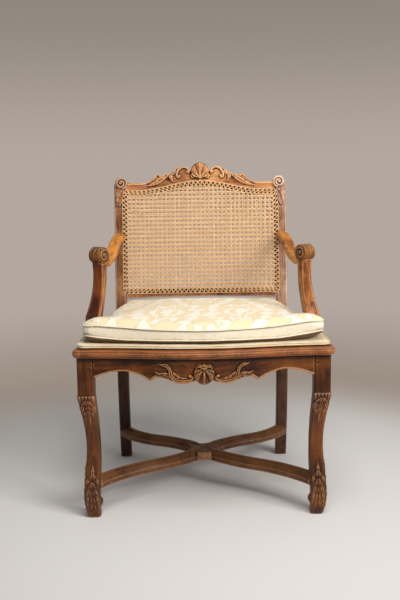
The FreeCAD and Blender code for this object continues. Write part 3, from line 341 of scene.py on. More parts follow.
class Value:
    """A shader value that can be used in an expression."""

    def __init__(self, finish, socket):
        self.finish = finish
        self.socket = socket

    def _math(self, operation, *others):
        inputs = dict(enumerate((self,) + others))
        return self.finish.node("ShaderNodeMath", {"operation": operation}, inputs)

    __add__ = __radd__ = partialmethod(_math, "ADD")
    __sub__ = partialmethod(_math, "SUBTRACT")
    __mul__ = __rmul__ = partialmethod(_math, "MULTIPLY")
    __truediv__ = partialmethod(_math, "DIVIDE")
    __pow__ = partialmethod(_math, "POWER")
    abs = partialmethod(_math, "ABSOLUTE")
    sin = partialmethod(_math, "SINE")
    cos = partialmethod(_math, "COSINE")
    max = partialmethod(_math, "MAXIMUM")
    # Angle of a point whose height this is, at another distance across
    angle = partialmethod(_math, "ARCTAN2")
    # Distance from the nearest even multiple of a step
    fold = partialmethod(_math, "PINGPONG")

    def __rsub__(self, other):
        return self.finish.node("ShaderNodeMath", {"operation": "SUBTRACT"}, {0: other, 1: self})

    def step(self, low, high):
        """Smooth step from 0 at low to 1 at high."""
        return self.finish.node("ShaderNodeMapRange", {"interpolation_type": "SMOOTHSTEP"},
                                {"Value": self, "From Min": low, "From Max": high})


class Finish:
    """One procedural material, with its nodes."""

    def __init__(self, name, **constants):
        self.material = bpy.data.materials.new(name)
        self.material.use_nodes = True
        self.tree = self.material.node_tree
        self.shader = self.tree.nodes["Principled BSDF"]
        for key, value in constants.items():
            self.shader.inputs[key.replace("_", " ")].default_value = value
        self.place = self.node("ShaderNodeTexCoord", {}, {}, "Object")

    def node(self, kind, settings, inputs, output=0):
        made = self.tree.nodes.new(kind)
        for key, value in settings.items():
            setattr(made, key, value)
        for key, value in inputs.items():
            self.feed(made.inputs[key], value)
        return Value(self, made.outputs[output])

    def feed(self, socket, value):
        if isinstance(value, Value):
            self.tree.links.new(value.socket, socket)
        else:
            socket.default_value = value

    def set(self, name, value):
        self.feed(self.shader.inputs[name], value)

    def axis(self, letter, vector=None):
        return self.node("ShaderNodeSeparateXYZ", {}, {0: vector or self.place}, letter)

    def stretched(self, x, y, z):
        return self.node("ShaderNodeVectorMath", {"operation": "MULTIPLY"}, {0: self.place, 1: (x, y, z)})

    def noise(self, vector, scale, detail=4.0, rough=0.55, twist=0.0):
        inputs = {"Vector": vector, "Scale": scale, "Detail": detail, "Roughness": rough, "Distortion": twist}
        return self.node("ShaderNodeTexNoise", {}, inputs, "Fac")

    def mix(self, share, first, second, blend="MIX"):
        settings = {"data_type": "RGBA", "blend_type": blend}
        return self.node("ShaderNodeMix", settings, {0: share, 6: first, 7: second}, 2)

    def tint(self, share, first, second):
        """Multiply the first colour by the second, by a share."""
        return self.mix(share, first, second, "MULTIPLY")

    def attribute(self, name):
        return self.node("ShaderNodeAttribute", {"attribute_name": name}, {}, "Fac")

    def bump(self, height, distance):
        self.set("Normal", self.node("ShaderNodeBump", {}, {"Height": height, "Distance": distance}))


GRAIN_STRETCH = 0.07
VESSEL_STRETCH = 0.02
# Painted shade: the rear posts grow darker below the seat frame, under the seat.
PAINTED_SHADE_BELOW_SEAT = ("Z", FRAME_UNDER + 0.01, FRAME_UNDER - 0.03, srgb(120, 100, 88))
# Painted shadow: the apron and the front legs darken in a band up to the underside of the seat frame, below
# the moulding.
PAINTED_SHADOW_UNDER_MOULDING = ("Z", FRAME_UNDER - 0.016, FRAME_UNDER, srgb(96, 72, 56))
KNUCKLE_WEAR = ("Y", -0.088, -0.108, srgb(172, 170, 176))
# Painted shade: faces turned away from the key lamp on the right grow darker.
PAINTED_SHADE_AWAY_FROM_KEY = ("slope X", 0.6, 0.05, srgb(176, 146, 120))


def walnut(name, grain, dark, middle, light, worn, gloss=0.38, wear_and_painted_shades=()):
    """Waxed walnut with its grain along X, Y or Z, dark in the hollows with dirt and painted shade, and
    rubbed pale on the ridges.

    Each shade is a tint that comes in between two places on an axis, or two slopes of the surface to it: most
    are painted shade, and one is wear."""
    dark, middle, light, worn = (srgb(*colour) for colour in (dark, middle, light, worn))
    finish = Finish("walnut_" + name, Specular_IOR_Level=0.24, Coat_Roughness=0.22)
    fibre = finish.stretched(*[GRAIN_STRETCH if letter == grain else 1.0 for letter in "XYZ"])
    vessel = finish.stretched(*[VESSEL_STRETCH if letter == grain else 1.0 for letter in "XYZ"])
    cloud = finish.noise(finish.place, 11, 4, 0.6)
    streak = finish.noise(fibre, 60, 5, 0.6, 1.4)
    pore = finish.noise(vessel, 620, 2)
    speck = finish.noise(finish.place, 210, 3, 0.65)
    colour = finish.mix(streak.step(0.34, 0.66), dark, middle)
    colour = finish.mix(cloud.step(0.42, 0.7) * 0.8, colour, light)
    colour = finish.tint((1 - cloud.step(0.3, 0.48)) * 0.6, colour, srgb(150, 120, 95))
    colour = finish.tint(pore.step(0.56, 0.7) * 0.6, colour, srgb(110, 82, 62))
    rise = finish.attribute("rise")
    ridge = rise.step(0.1, 0.7) * (speck.step(0.3, 0.6) * 0.6 + 0.4)
    # Dirt and painted shade: the hollows of the carving are darkened towards deep brown.
    hollow = 1 - rise.step(-0.9, -0.08)
    colour = finish.mix(ridge * 0.6, colour, worn)
    colour = finish.tint(hollow * 0.95, colour, srgb(66, 42, 28))
    nick = finish.noise(finish.place, 75, 4, 0.7).step(0.67, 0.74)
    colour = finish.tint(nick * 0.7, colour, srgb(80, 55, 42))
    normal = finish.node("ShaderNodeTexCoord", {}, {}, "Normal")
    # Tints of painted shade and of wear
    for kind, start, end, tint in wear_and_painted_shades:
        place = finish.axis(kind[-1], normal if kind.startswith("slope") else None)
        share = place.step(min(start, end), max(start, end))
        colour = finish.tint(share if start < end else 1 - share, colour, tint)
    finish.set("Base Color", colour)
    finish.set("Roughness", gloss + 0.25 * speck + 0.15 * hollow - 0.1 * ridge)
    finish.set("Coat Weight", 0.2 - 0.2 * hollow)
    finish.bump(streak * 0.35 - pore.step(0.55, 0.7) * 0.5 + speck * 0.25 - nick * 0.8, 0.0006)
    return finish.material


def plain_finish(name, colour, shade, rough=0.5):
    finish = Finish(name, Specular_IOR_Level=0.3)
    patch = finish.noise(finish.place, 120, 4)
    finish.set("Base Color", finish.mix(patch.step(0.3, 0.7), shade, colour))
    finish.set("Roughness", rough + 0.15 * patch)
    finish.bump(patch, 0.0004)
    return finish.material


CREST_WOOD = walnut("crest", "X", (164, 104, 58), (208, 140, 80), (228, 166, 104), (250, 216, 172))
POST_WOOD = walnut("post", "Z", (90, 52, 26), (148, 96, 58), (186, 130, 88), (232, 196, 166),
                   wear_and_painted_shades=(PAINTED_SHADE_BELOW_SEAT,))
# Right rear post: a paler copy of the post walnut, painted light from the key lamp on the right.
LIT_POST_WOOD = walnut("post_painted_light", "Z", (136, 96, 70), (190, 148, 118), (216, 178, 150), (244, 216, 194),
                        0.34, (PAINTED_SHADE_BELOW_SEAT,))
ARM_WOOD = walnut("arm", "Y", (126, 64, 18), (206, 126, 40), (232, 158, 64), (246, 204, 150),
                  0.3, (KNUCKLE_WEAR,))
SUPPORT_WOOD = walnut("support", "Z", (92, 48, 18), (180, 108, 50), (212, 140, 78), (242, 198, 152))
# Left arm support: a darker copy of the support walnut, painted shade for the key lamp on the right.
SHADED_SUPPORT_WOOD = walnut("support_painted_shade", "Z", (84, 42, 14), (166, 98, 42), (204, 132, 70), (240, 196, 150),
                           wear_and_painted_shades=(PAINTED_SHADE_AWAY_FROM_KEY,))
SEAT_WOOD = walnut("seat", "X", (70, 34, 10), (132, 70, 26), (158, 90, 40), (202, 140, 92), 0.24)
# The apron, front legs, side aprons and stretchers are coloured darker than the crest and arms: partly the
# wood's own tone, partly painted shade from the seat above.
APRON_WOOD = walnut("apron", "X", (56, 25, 4), (106, 54, 10), (134, 74, 20), (226, 164, 104),
                    wear_and_painted_shades=(PAINTED_SHADOW_UNDER_MOULDING,))
LEG_WOOD = walnut("leg", "Z", (50, 23, 4), (96, 48, 11), (124, 68, 22), (206, 152, 106), 0.32, (PAINTED_SHADOW_UNDER_MOULDING,))
SIDE_WOOD = walnut("side", "Y", (58, 28, 6), (106, 56, 18), (132, 74, 28), (192, 136, 88))
STRETCHER_WOOD = walnut("stretcher", "Y", (76, 46, 22), (98, 60, 31), (116, 74, 41), (186, 136, 94), 0.4)
PEG_WOOD = plain_finish("walnut_peg", srgb(100, 58, 24), srgb(62, 32, 12))


# Charts that lay a carved face flat
def back_chart(points):
    """Across, up along the lean from the seat top, and behind the front plane of the back, in millimetres."""
    y, z = points[:, 1] - POST_FRONT / MM, points[:, 2] - SEAT_TOP / MM
    return (points[:, 0], y * math.sin(BACK_LEAN) + z * math.cos(BACK_LEAN),
            y * math.cos(BACK_LEAN) - z * math.sin(BACK_LEAN))


def back_place(u, v, deep):
    """A point of the back, in metres, from its chart in millimetres."""
    y = POST_FRONT + (v * math.sin(BACK_LEAN) + deep * math.cos(BACK_LEAN)) * MM
    z = SEAT_TOP + (v * math.cos(BACK_LEAN) - deep * math.sin(BACK_LEAN)) * MM
    return np.stack([np.asarray(u) * MM * np.ones_like(y), y, z], axis=-1)


BACK_FRONT = np.array([0, -math.cos(BACK_LEAN), math.sin(BACK_LEAN)])


def arch(u, base, rise):
    """Height of an arched edge that starts from a base at its ends."""
    inside = np.clip(np.abs(u) / CREST_ARCH_HALF, 0, 1)
    return base + rise * 0.5 * (1 + np.cos(np.pi * inside))


# Carved pieces of the back
SHELL_FLUTES = 9
SHELL_ROOT = 421


def stippled(u, v):
    return 0.4 * np.sin(u * 2.1 + 0.8 * np.sin(v)) * np.sin(v * 2.1 + 0.7 * np.sin(u))


def crest_relief(points, normals):
    across, v, _ = back_chart(points)
    u = np.abs(across)
    carving = Relief(u, v)
    scroll = smooth_line([(39, 441), (35.5, 439), (32.5, 442), (34, 448), (41, 453), (50, 454.5), (59, 451),
                          (66, 444), (70, 435), (69.5, 427), (64.5, 424.5), (62, 429)], 60)
    carving.bead(scroll, 3.9, 5.6)
    carving.knob((38, 442), 3.8, 5.4)
    carving.knob((64, 429), 3.8, 5.4)
    carving.leaf([(75, 440), (85, 436), (88, 424), (80, 408)], 8, 5.4, 2)
    carving.leaf([(94, 438), (108, 426), (134, 408), (168, 397)], 10, 5.4, 4)
    carving.leaf([(108, 427), (120, 430), (131, 435)], 6.5, 4.4, 2)
    carving.knob((140, 405), 5.5, 4.8)
    carving.knob((110, 421), 5.5, 5.2)
    carving.leaf([(0, 423), (0, 408)], 7, 4.2, 2)
    carving.shell((0, SHELL_ROOT), 31, 46, 7.0, SHELL_FLUTES, 1.35)
    carving.bead(spiral((21, 427), 6, 1.5, 70, -420, 26), 2.6, 6.0)
    carving.bead(smooth_line([(226, 405), (200, 404), (172, 404.5), (150, 416), (133, 430)]), 2.2, 1.8)
    low = arch(u, CANE_HIGH, CANE_ARCH)
    ground = band(u, -1, 166, 5) * fade(v, low, low + 4)
    facing = fade(-normals[:, 1], 0.3, 0.75)
    quiet = carving.height < 0.4
    cove = -2.0 * band(u, 168, 224, 4) * band(v, 391, 400, 3)
    angle = np.arctan2(u, v - SHELL_ROOT)
    notch = (1 - np.abs(np.cos(angle * SHELL_FLUTES / 2))) ** 2 * (u < 31) * (v > 436) * (1 - facing)
    stipple = stippled(u, v) * ground * quiet * (u < 78)
    return facing * (carving.height - 2.6 * ground + stipple + cove) - 3 * notch


def post_relief(points, normals):
    across, v, deep = back_chart(points)
    u = np.abs(across)
    carving = Relief(u, v)
    outer_turn = spiral(EAR_CENTRE, 16, 15, 250, -150, 20)
    curl = np.vstack([outer_turn, spiral(EAR_CENTRE, 15, 3.5, 100, -470, 40)])
    carving.bead(curl, 3.3, 3.0)
    carving.knob(EAR_CENTRE, 3.4, 3.0)
    drop = Relief(u, v)
    hanging = [(POST_CENTRE - 6, 391), (POST_CENTRE + 7, 372), (POST_CENTRE + 9, 352), (POST_CENTRE + 6, 338)]
    drop.leaf(hanging, 9, 3.2, 3)
    drop.leaf([(POST_CENTRE - 12, 389), (POST_CENTRE, 386), (POST_CENTRE + 12, 392)], 6, 2.6, 3)
    on_ear = fade(-deep, 3.5, 5.5)
    ear_ground = on_ear * fade(-normals[:, 1], 0.5, 0.8)
    leaf_ground = fade(v, 330, 338) * (1 - on_ear) * fade(-normals[:, 1], 0.4, 0.8) * (v < 396)
    fillet = fade(-normals[:, 1], 0.5, 0.9) * band(v, 20, 332, 3) * (v > 0)
    stile = Relief(u, v)
    stile.bead(np.array([(256.5, 15), (256.5, 336)]), 1.8, 1.3)
    return ear_ground * (carving.height - 1.6) + leaf_ground * (drop.height - 1.2) + fillet * stile.height


# Carved pieces of the seat, the legs and the arms
SEAT_QUIRK = 5.0
QUIRK_DEPTH = 1.3
QUIRK_WIDTH = 1.4
SEAT_COVE = 17.0
COVE_DEPTH = 1.0
COVE_WIDTH = 1.8


def seat_relief(points, normals):
    """A quirk under the top edge of the moulding and a cove above its under edge."""
    drop = SEAT_TOP / MM - points[:, 2]
    quirk = QUIRK_DEPTH * np.exp(-((drop - SEAT_QUIRK) / QUIRK_WIDTH) ** 2)
    cove = COVE_DEPTH * np.exp(-((drop - SEAT_COVE) / COVE_WIDTH) ** 2)
    return -(1 - np.abs(normals[:, 2]) ** 4) * (quirk + cove)


def apron_relief(points, normals):
    u, v = np.abs(points[:, 0]), points[:, 2]
    carving = Relief(u, v)
    sweep = smooth_line([(33, 382), (29, 377), (34, 371), (44, 367.5), (57, 367), (72, 371), (82, 382),
                         (85, 394), (91, 405), (108, 410)], 60)
    carving.scroll(sweep, 5.6, 5.0)
    carving.knob((35, 381), 4.6, 4.8)
    carving.leaf([(86, 396), (94, 408), (116, 412)], 5.5, 4.6, 2)
    carving.leaf([(84, 378), (98, 386), (110, 386), (124, 392)], 6, 4.6, 3)
    carving.leaf([(76, 388), (62, 377), (42, 375)], 5.5, 4.0, 3)
    carving.scroll(smooth_line([(96, 380), (112, 382), (124, 378), (136, 370)]), 3.6, 3.0)
    edge = [(136, 372), (160, 384.5), (190, 393), (205, 394.5), (240, 390), (275, 378)]
    carving.bead(smooth_line(edge), 2.2, 1.6)
    carving.shell((0, 402), 27, -41, 5.5, SHELL_FLUTES, 1.3)
    carving.leaf([(2, 402), (9, 408), (17, 407), (23, 401)], 5.5, 5.6, 2)
    carving.leaf([(0, 401), (0, 415)], 6, 5.8, 2)
    ground = band(u, -1, 116, 8) * (1 - fade(v, 408, 416))
    facing = fade(-normals[:, 1], 0.35, 0.75)
    quiet = carving.height < 0.4
    return facing * (carving.height - 2.2 * ground + stippled(u, v) * ground * quiet)


# How far a front leg leans in from its axis and its half width, at a few heights, in millimetres
LEG_HEIGHTS = (0, 78, 192, 262, 325, 425)
LEG_SHIFT = (10, 6.5, 12, 7.5, 0, 0)
LEG_HALF = (16.5, 20, 18.2, 19.2, 21.5, 21.5)
LEG_AXIS = (298, 228.5)


def leg_relief(points, normals):
    """On the outer faces: a fluted collar and a leaf on the knee, a husk and a spreading leaf on the foot."""
    height = points[:, 2]
    shift = np.interp(height, LEG_HEIGHTS, LEG_SHIFT)
    half = np.interp(height, LEG_HEIGHTS, LEG_HALF)
    outward = (np.abs(points[:, 0]), -points[:, 1])
    facing_out = (normals[:, 0] * np.sign(points[:, 0]), -normals[:, 1])
    result = np.zeros(len(points))
    for face, across in ((1, 0), (0, 1)):
        t = (outward[across] - LEG_AXIS[across] + shift) / half * 20
        carving = Relief(np.abs(t), height)
        carving.leaf([(3, 312), (10, 302), (16, 288), (12, 276)], 7.5, 4.0, 2)
        carving.leaf([(2, 296), (8, 284), (11, 266)], 6.5, 3.6, 2)
        carving.leaf([(0, 306), (0, 280), (0, 250)], 6, 4.0, 3)
        carving.leaf([(0, 112), (0, 124), (0, 140)], 6.5, 3.8, 2)
        carving.leaf([(2, 112), (10, 104), (16, 92), (19, 96)], 6.5, 3.8, 2)
        carving.leaf([(2, 94), (9, 72), (15, 44), (17, 20)], 6, 3.8, 4)
        carving.leaf([(0.5, 92), (4, 58), (6, 18)], 4.5, 3.4, 4)
        flute = np.sqrt(np.abs(np.cos(t * np.pi / 8)))
        collar = fade(height, 300, 322) * (1 - fade(height, 325, 328.5)) * (0.8 + 2.0 * flute)
        facing = fade(facing_out[face], 0.4, 0.75)
        ground = band(height, 256, 305, 4) + band(height, 14, 114, 5)
        result = np.maximum(result, facing * np.maximum(carving.height, collar) - 1.4 * facing * ground)
    return result


def centre_line(points, along, across, step=6.0):
    """Middle and half width of a bar at each point, found in slices along it."""
    slices = ((points[:, along] - points[:, along].min()) / step).astype(int)
    values = points[:, across]
    low, high = np.full(slices.max() + 1, 1e9), np.full(slices.max() + 1, -1e9)
    np.minimum.at(low, slices, values)
    np.maximum.at(high, slices, values)
    return ((low + high) / 2)[slices], ((high - low) / 2)[slices]


# The scrolled knuckle of an arm: its centre, the turn of its axis and its half length
SCROLL_CENTRE = (268.7, -120.1, 669.5)
SCROLL_TURN = math.radians(35)
SCROLL_HALF = 19


def arm_relief(points, normals):
    """Beads along both edges of the top, a leaf-carved knuckle and a volute on each end of it."""
    ax = np.abs(points[:, 0])
    middle, half = centre_line(np.stack([ax, points[:, 1]], axis=1), 1, 0)
    out, fore, up = ax - SCROLL_CENTRE[0], points[:, 1] - SCROLL_CENTRE[1], points[:, 2] - SCROLL_CENTRE[2]
    along = -out * math.cos(SCROLL_TURN) - fore * math.sin(SCROLL_TURN)
    ahead = out * math.sin(SCROLL_TURN) - fore * math.cos(SCROLL_TURN)
    reach = np.hypot(ahead, up)
    knuckle = (reach < 26) & (np.abs(along) < 26)
    on_end = knuckle & (np.abs(along) > SCROLL_HALF - 3) & (reach < 20.5)
    volute = Relief(ahead, up)
    volute.bead(spiral((0, 0), 17.5, 3, 190, -520, 60), 3.4, 3.2)
    volute.knob((0, 0), 4.5, 3.6)
    lobes = Relief(np.abs(along), np.degrees(np.arctan2(up, ahead)) * 0.37)
    lobes.leaf([(0, 62), (0, 30), (0, -10)], 6, 3.0, 3)
    lobes.leaf([(5, 60), (10, 36), (12, 4)], 5.5, 2.8, 3)
    lobes.leaf([(11, 60), (16, 44), (17, 20)], 4.5, 2.4, 2)
    flat = fade(normals[:, 2], 0.45, 0.8) * (1 - knuckle) * (points[:, 1] < 205)
    aside = np.abs(ax - middle)
    fillet = np.exp(-((aside - half + 3.5) / 1.7) ** 2) * 1.5
    channel = -0.9 * (1 - fade(aside, half - 9, half - 6))
    carved = np.where(knuckle, lobes.height - 0.8, flat * (fillet + channel))
    return np.where(on_end, volute.height - 1.6, carved)


SUPPORT_LEAF = 64


def support_relief(points, normals):
    """A leaf at the foot of the arm support, on its front and outer faces, and a fillet along its edges."""
    rise = points[:, 2] - SEAT_TOP / MM
    ax = np.abs(points[:, 0])
    result = np.zeros(len(points))
    for across, facing in ((0, -normals[:, 1]), (1, normals[:, 0] * np.sign(points[:, 0]))):
        level = ax if across == 0 else points[:, 1]
        middle, half = centre_line(np.stack([level, points[:, 2]], axis=1), 1, 0)
        t = np.abs(level - middle) / half * 16
        carving = Relief(t, rise)
        carving.leaf([(0, 2), (0, 30), (0, SUPPORT_LEAF)], 6, 3.4, 3)
        carving.leaf([(4, 2), (10, 24), (13, 46)], 6.5, 3.2, 3)
        seen = fade(facing, 0.5, 0.8)
        edge = 1.2 * np.exp(-((t - 13.5) / 1.6) ** 2) * band(rise, SUPPORT_LEAF + 14, 190, 6)
        result = np.maximum(result, seen * (carving.height + edge))
    return result


def dress(node, finish):
    """A solid whose shape is right as it is gets its finish."""
    slots = frame["nodes"][node].data.materials
    slots.clear()
    slots.append(finish)


TURNED_LOW = 0.16
TURNED_HIGH = 0.235
TURNED_SOFT = 0.025
HUB_CENTRE = (0.0, 0.026)
HUB_REACH = 0.055
HUB_CORE = 0.6
HUB_HALF = 0.02
HUB_FRONT = -0.036
HUB_REAR = 0.03
HUB_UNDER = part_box("stretcher_left_to_right")[0][2] + 0.003
HUB_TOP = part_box("stretcher_left_to_right")[1][2] - 0.004
HUB_BLOCK = ((-HUB_HALF, HUB_FRONT, HUB_UNDER), (HUB_HALF, HUB_REAR, HUB_TOP))


def mid_leg(points):
    """1 where a front leg is turned round, between its carved knee and foot."""
    return band(points[:, 2], TURNED_LOW, TURNED_HIGH, TURNED_SOFT)


def near_hub(points):
    """1 at the crossing of the stretchers, 0 along their arms."""
    away = np.hypot(points[:, 0] - HUB_CENTRE[0], points[:, 1] - HUB_CENTRE[1])
    return 1 - fade(away, HUB_REACH * HUB_CORE, HUB_REACH)


def build_wood():
    dress("joint_pegs", PEG_WOOD)
    worked("crest_rail", CREST_WOOD, voxel=1.1, keep=0.45, soften=1, relief=crest_relief)
    worked("front_apron", APRON_WOOD, voxel=1.2, keep=0.4, soften=1, relief=apron_relief)
    worked("back_bottom_rail", POST_WOOD, voxel=1.8, keep=0.3)
    worked("rear_apron", SIDE_WOOD, voxel=2.5, keep=0.3)
    worked("seat_frame_front", SEAT_WOOD, voxel=1.5, keep=0.3, relief=seat_relief)
    worked("seat_frame_rear", SEAT_WOOD, voxel=1.5, keep=0.3, relief=seat_relief)
    # The left arm support takes its walnut in painted shade and the right rear post in painted light.
    for side, post, support in (("left", POST_WOOD, SHADED_SUPPORT_WOOD),
                                ("right", LIT_POST_WOOD, SUPPORT_WOOD)):
        worked("rear_post_" + side, post, voxel=1.4, keep=0.35, relief=post_relief)
        worked("front_leg_" + side, LEG_WOOD, voxel=1.2, keep=0.4, soften=12, relief=leg_relief, melt=mid_leg)
        worked("arm_" + side, ARM_WOOD, voxel=1.3, keep=0.4, soften=3, relief=arm_relief)
        worked("arm_support_" + side, support, voxel=1.3, keep=0.4, soften=3, relief=support_relief)
        worked("side_apron_" + side, SIDE_WOOD, voxel=2.0, keep=0.3)
        worked("seat_frame_" + side, SEAT_WOOD, voxel=1.5, keep=0.3, relief=seat_relief)
    for node, block in (("stretcher_left_to_right", HUB_BLOCK), ("stretcher_right_to_left", None)):
        worked(node, STRETCHER_WOOD, voxel=1.5, keep=0.35, soften=1, block=block, melt=near_hub)


# Cane, in millimetres
CANE_PITCH = 13.0
STRAND_WIDTH = 2.3
STRAND_THICK = 0.45
STRAND_WANDER = 0.22
PAIR_GAP = 2.0
WEAVE_LIFT = 0.55
WEAVE_RISE = 1.1
WEAVE_UNDER_LACE = 2.5
SEAT_WEAVE_RISE = 0.9
SEAT_MARGIN = 2.5


def cane_finish(name, pale, deep, gloss):
    finish = Finish(name, Specular_IOR_Level=0.5)
    tone = finish.attribute("tone")
    grain = finish.noise(finish.place, 160, 3)
    colour = finish.mix(tone * 0.7 + grain * 0.4, deep, pale)
    finish.set("Base Color", colour)
    finish.set("Roughness", gloss + 0.2 * grain)
    finish.bump(finish.noise(finish.place, 900, 2), 0.0003)
    return finish.material


def strand_runs(line, inside):
    """The stretches of a line of points that lie inside the panel."""
    keep = inside(line[:, 0], line[:, 1])
    cuts = np.nonzero(np.diff(keep))[0] + 1
    runs = zip(np.split(line, cuts), np.split(keep, cuts))
    return [run for run, kept in runs if kept[0] and len(run) > 1]


def weave_line(across, up, lift):
    return np.stack(np.broadcast_arrays(across, up, lift), axis=1)


def weave_lines(low, high):
    """Points (across, up, lift) of six-way cane: pairs both ways, then one strand along each diagonal."""
    pitch = CANE_PITCH
    columns = np.arange(math.floor(low[0] / pitch), math.ceil(high[0] / pitch) + 1)
    rows = np.arange(math.floor(low[1] / pitch), math.ceil(high[1] / pitch) + 1)
    for column in columns:
        v = np.arange(rows[0], rows[-1] + 0.01, 0.5)
        for side in (-1, 1):
            lift = side * 0.5 + 0.2 * np.cos(2 * np.pi * v)
            yield weave_line(column * pitch + side * PAIR_GAP, v * pitch, lift)
    for row in rows:
        u = np.arange(columns[0], columns[-1] + 0.01, 0.25)
        for side in (-1, 1):
            wave = np.sin(2 * np.pi * u) * side
            yield weave_line(u * pitch, row * pitch + side * PAIR_GAP, 0.55 * wave)
    reach = int(len(columns) + len(rows)) + 2
    steps = np.arange(2 * columns[0], 2 * columns[-1] + 1) / 2
    for start in range(-reach, reach):
        for slope in (-1, 1):
            crossing = np.where(np.abs(steps - np.round(steps)) < 0.1, 1.0, -1.0) * slope
            yield weave_line(steps * pitch, (slope * steps + start + 0.5) * pitch, crossing)


def strand_mesh(name, strands):
    """Four-sided strands, each given by its points and its tone, as one mesh."""
    faces = []
    count = 0
    for rows, _ in strands:
        base = count + np.arange(0, len(rows) - 4, 4)[:, None]
        for corner in range(4):
            after = (corner + 1) % 4
            faces.append(np.hstack([base + corner, base + 4 + corner, base + 4 + after, base + after]))
        count += len(rows)
    mesh = mesh_of(name, np.vstack([rows for rows, _ in strands]), np.vstack(faces).tolist())
    put_attribute(mesh, "tone", np.concatenate([np.full(len(rows), tone) for rows, tone in strands]))
    return mesh


def woven_panel(name, node, low, high, inside, place, front, finish, seed):
    """A panel of cane strands; place gives a point of the panel and front is the way that it faces."""
    random = np.random.default_rng(seed)
    strands = []
    for line in weave_lines(low, high):
        for run in strand_runs(line, inside):
            tone = random.uniform(0.15, 0.85)
            way = np.gradient(run[:, :2], axis=0)
            way /= np.hypot(way[:, 0], way[:, 1])[:, None]
            across = np.stack([-way[:, 1], way[:, 0]], axis=1)
            middle = run[:, :2] + across * random.normal(0, STRAND_WANDER)
            aside = across * (STRAND_WIDTH * random.uniform(0.9, 1.08) / 2)
            lift = run[:, 2] * WEAVE_LIFT
            ring = [(middle - aside, lift), (middle, lift + STRAND_THICK),
                    (middle + aside, lift), (middle, lift - STRAND_THICK)]
            rows = [place(flat[:, 0], flat[:, 1]) + np.outer(level, front) * MM for flat, level in ring]
            strands.append((np.stack(rows, axis=1).reshape(-1, 3), tone))
    piece(name, strand_mesh(name, strands), finish, "frame", node, True)


def build_cane():
    dress("seat_cane_binder", cane_finish("cane_binder", srgb(240, 204, 150), srgb(200, 150, 92), 0.4))
    finish = cane_finish("cane_straw", srgb(252, 220, 178), srgb(214, 164, 114), 0.42)
    margin = LACE_INSIDE - WEAVE_UNDER_LACE
    side = CANE_SIDE / MM - margin

    def inside_back(u, v):
        return (np.abs(u) < side) & (v > CANE_LOW + margin) & (v < arch(u, CANE_HIGH, CANE_ARCH) - margin)

    low, high = (-side, CANE_LOW), (side, CANE_HIGH + CANE_ARCH)
    woven_panel("cane_back_front", "back_cane_front", low, high, inside_back,
                lambda u, v: back_place(u, v, -WEAVE_RISE), BACK_FRONT, finish, 3)
    woven_panel("cane_back_rear", "back_cane_rear", low, high, inside_back,
                lambda u, v: back_place(u, v, RAIL_DEPTH + WEAVE_RISE), -BACK_FRONT, finish, 5)
    seat_low, seat_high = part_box("seat_cane")
    corners = vertices_of(frame["nodes"]["seat_cane"].data)
    front_half = np.abs(corners[corners[:, 1] < seat_low[1] + MM, 0]).max() / MM
    rear_half = np.abs(corners[corners[:, 1] > seat_high[1] - MM, 0]).max() / MM
    front_y, rear_y = seat_low[1] / MM, seat_high[1] / MM

    def inside_seat(u, v):
        half = front_half + (rear_half - front_half) * (v - front_y) / (rear_y - front_y)
        return (np.abs(u) < half - SEAT_MARGIN) & (v > front_y + SEAT_MARGIN) & (v < rear_y - SEAT_MARGIN)

    def seat_place(u, v):
        return np.stack([u * MM, v * MM, np.full(len(u), seat_low[2] + SEAT_WEAVE_RISE * MM)], axis=-1)

    woven_panel("cane_seat", "seat_cane", (-front_half, front_y), (front_half, rear_y), inside_seat,
                seat_place, np.array([0, 0, 1.0]), finish, 7)


# Border of the caned back: holes along the frame and the strands laced through them, sizes in millimetres
FACES = ("front", "rear")
LACE_EDGE = 1.8
LACE_OUTER = 5.8
LACE_INNER = 12.2
LACE_INSIDE = 16.4
LACE_MIDDLE = 9
LACE_STEP = 13.0
# Width, lift and bow of the strands: inwards, outwards, along the inside and along the edge
LACE_IN = (3.0, 1.4, 0.9)
LACE_OUT = (2.8, 1.1, 0.6)
LACE_ALONG_INSIDE = (2.4, 0.9, 0.3)
LACE_ALONG_EDGE = (2.2, 0.8, 0.3)
LACE_CROWN = 0.6
LACE_BELLY = 0.5
HOLE_CORNERS = 10
# A hole shows as a dark disc of painted shade, for the shade inside the hole: radius and lift of its edge and
# of its face
HOLE_RINGS = ((3.0, 0.3), (2.6, 1.0))


def border_path(inset):
    """Closed line round the back panel, an even distance inside its edge."""
    side = CANE_SIDE / MM - inset
    top = np.linspace(side, -side, 80)
    corners = [(-side, CANE_LOW + inset), (side, CANE_LOW + inset)]
    return np.array(corners + list(zip(top, arch(top, CANE_HIGH, CANE_ARCH) - inset)) + corners[:1])


def even_points(path, count):
    steps = np.hypot(*np.diff(path, axis=0).T)
    walked = np.concatenate([[0], np.cumsum(steps)])
    where = np.linspace(0, walked[-1], count)
    return np.stack([np.interp(where, walked, path[:, k]) for k in range(2)], axis=1)


def above_panel(face, lift):
    """How far behind the front plane of the back a lift above its front or its rear face lies."""
    return -lift if face == "front" else RAIL_DEPTH + lift


def ribbon_box(start, end, width, lift, bow, face):
    """The points of a bowed flat strand between two points of the panel."""
    share = np.linspace(0, 1, 5)
    middle = np.outer(1 - share, start) + np.outer(share, end)
    way = (end - start) / max(np.hypot(*(end - start)), 1e-6)
    aside = np.array([-way[1], way[0]]) * width / 2
    rise = lift + bow * np.sin(np.pi * share)
    rows = [back_place(*(middle + aside * k).T, above_panel(face, rise + extra))
            for k, extra in ((-1, 0), (0, LACE_CROWN), (1, 0), (0, -LACE_BELLY))]
    return np.stack(rows, axis=1).reshape(-1, 3)


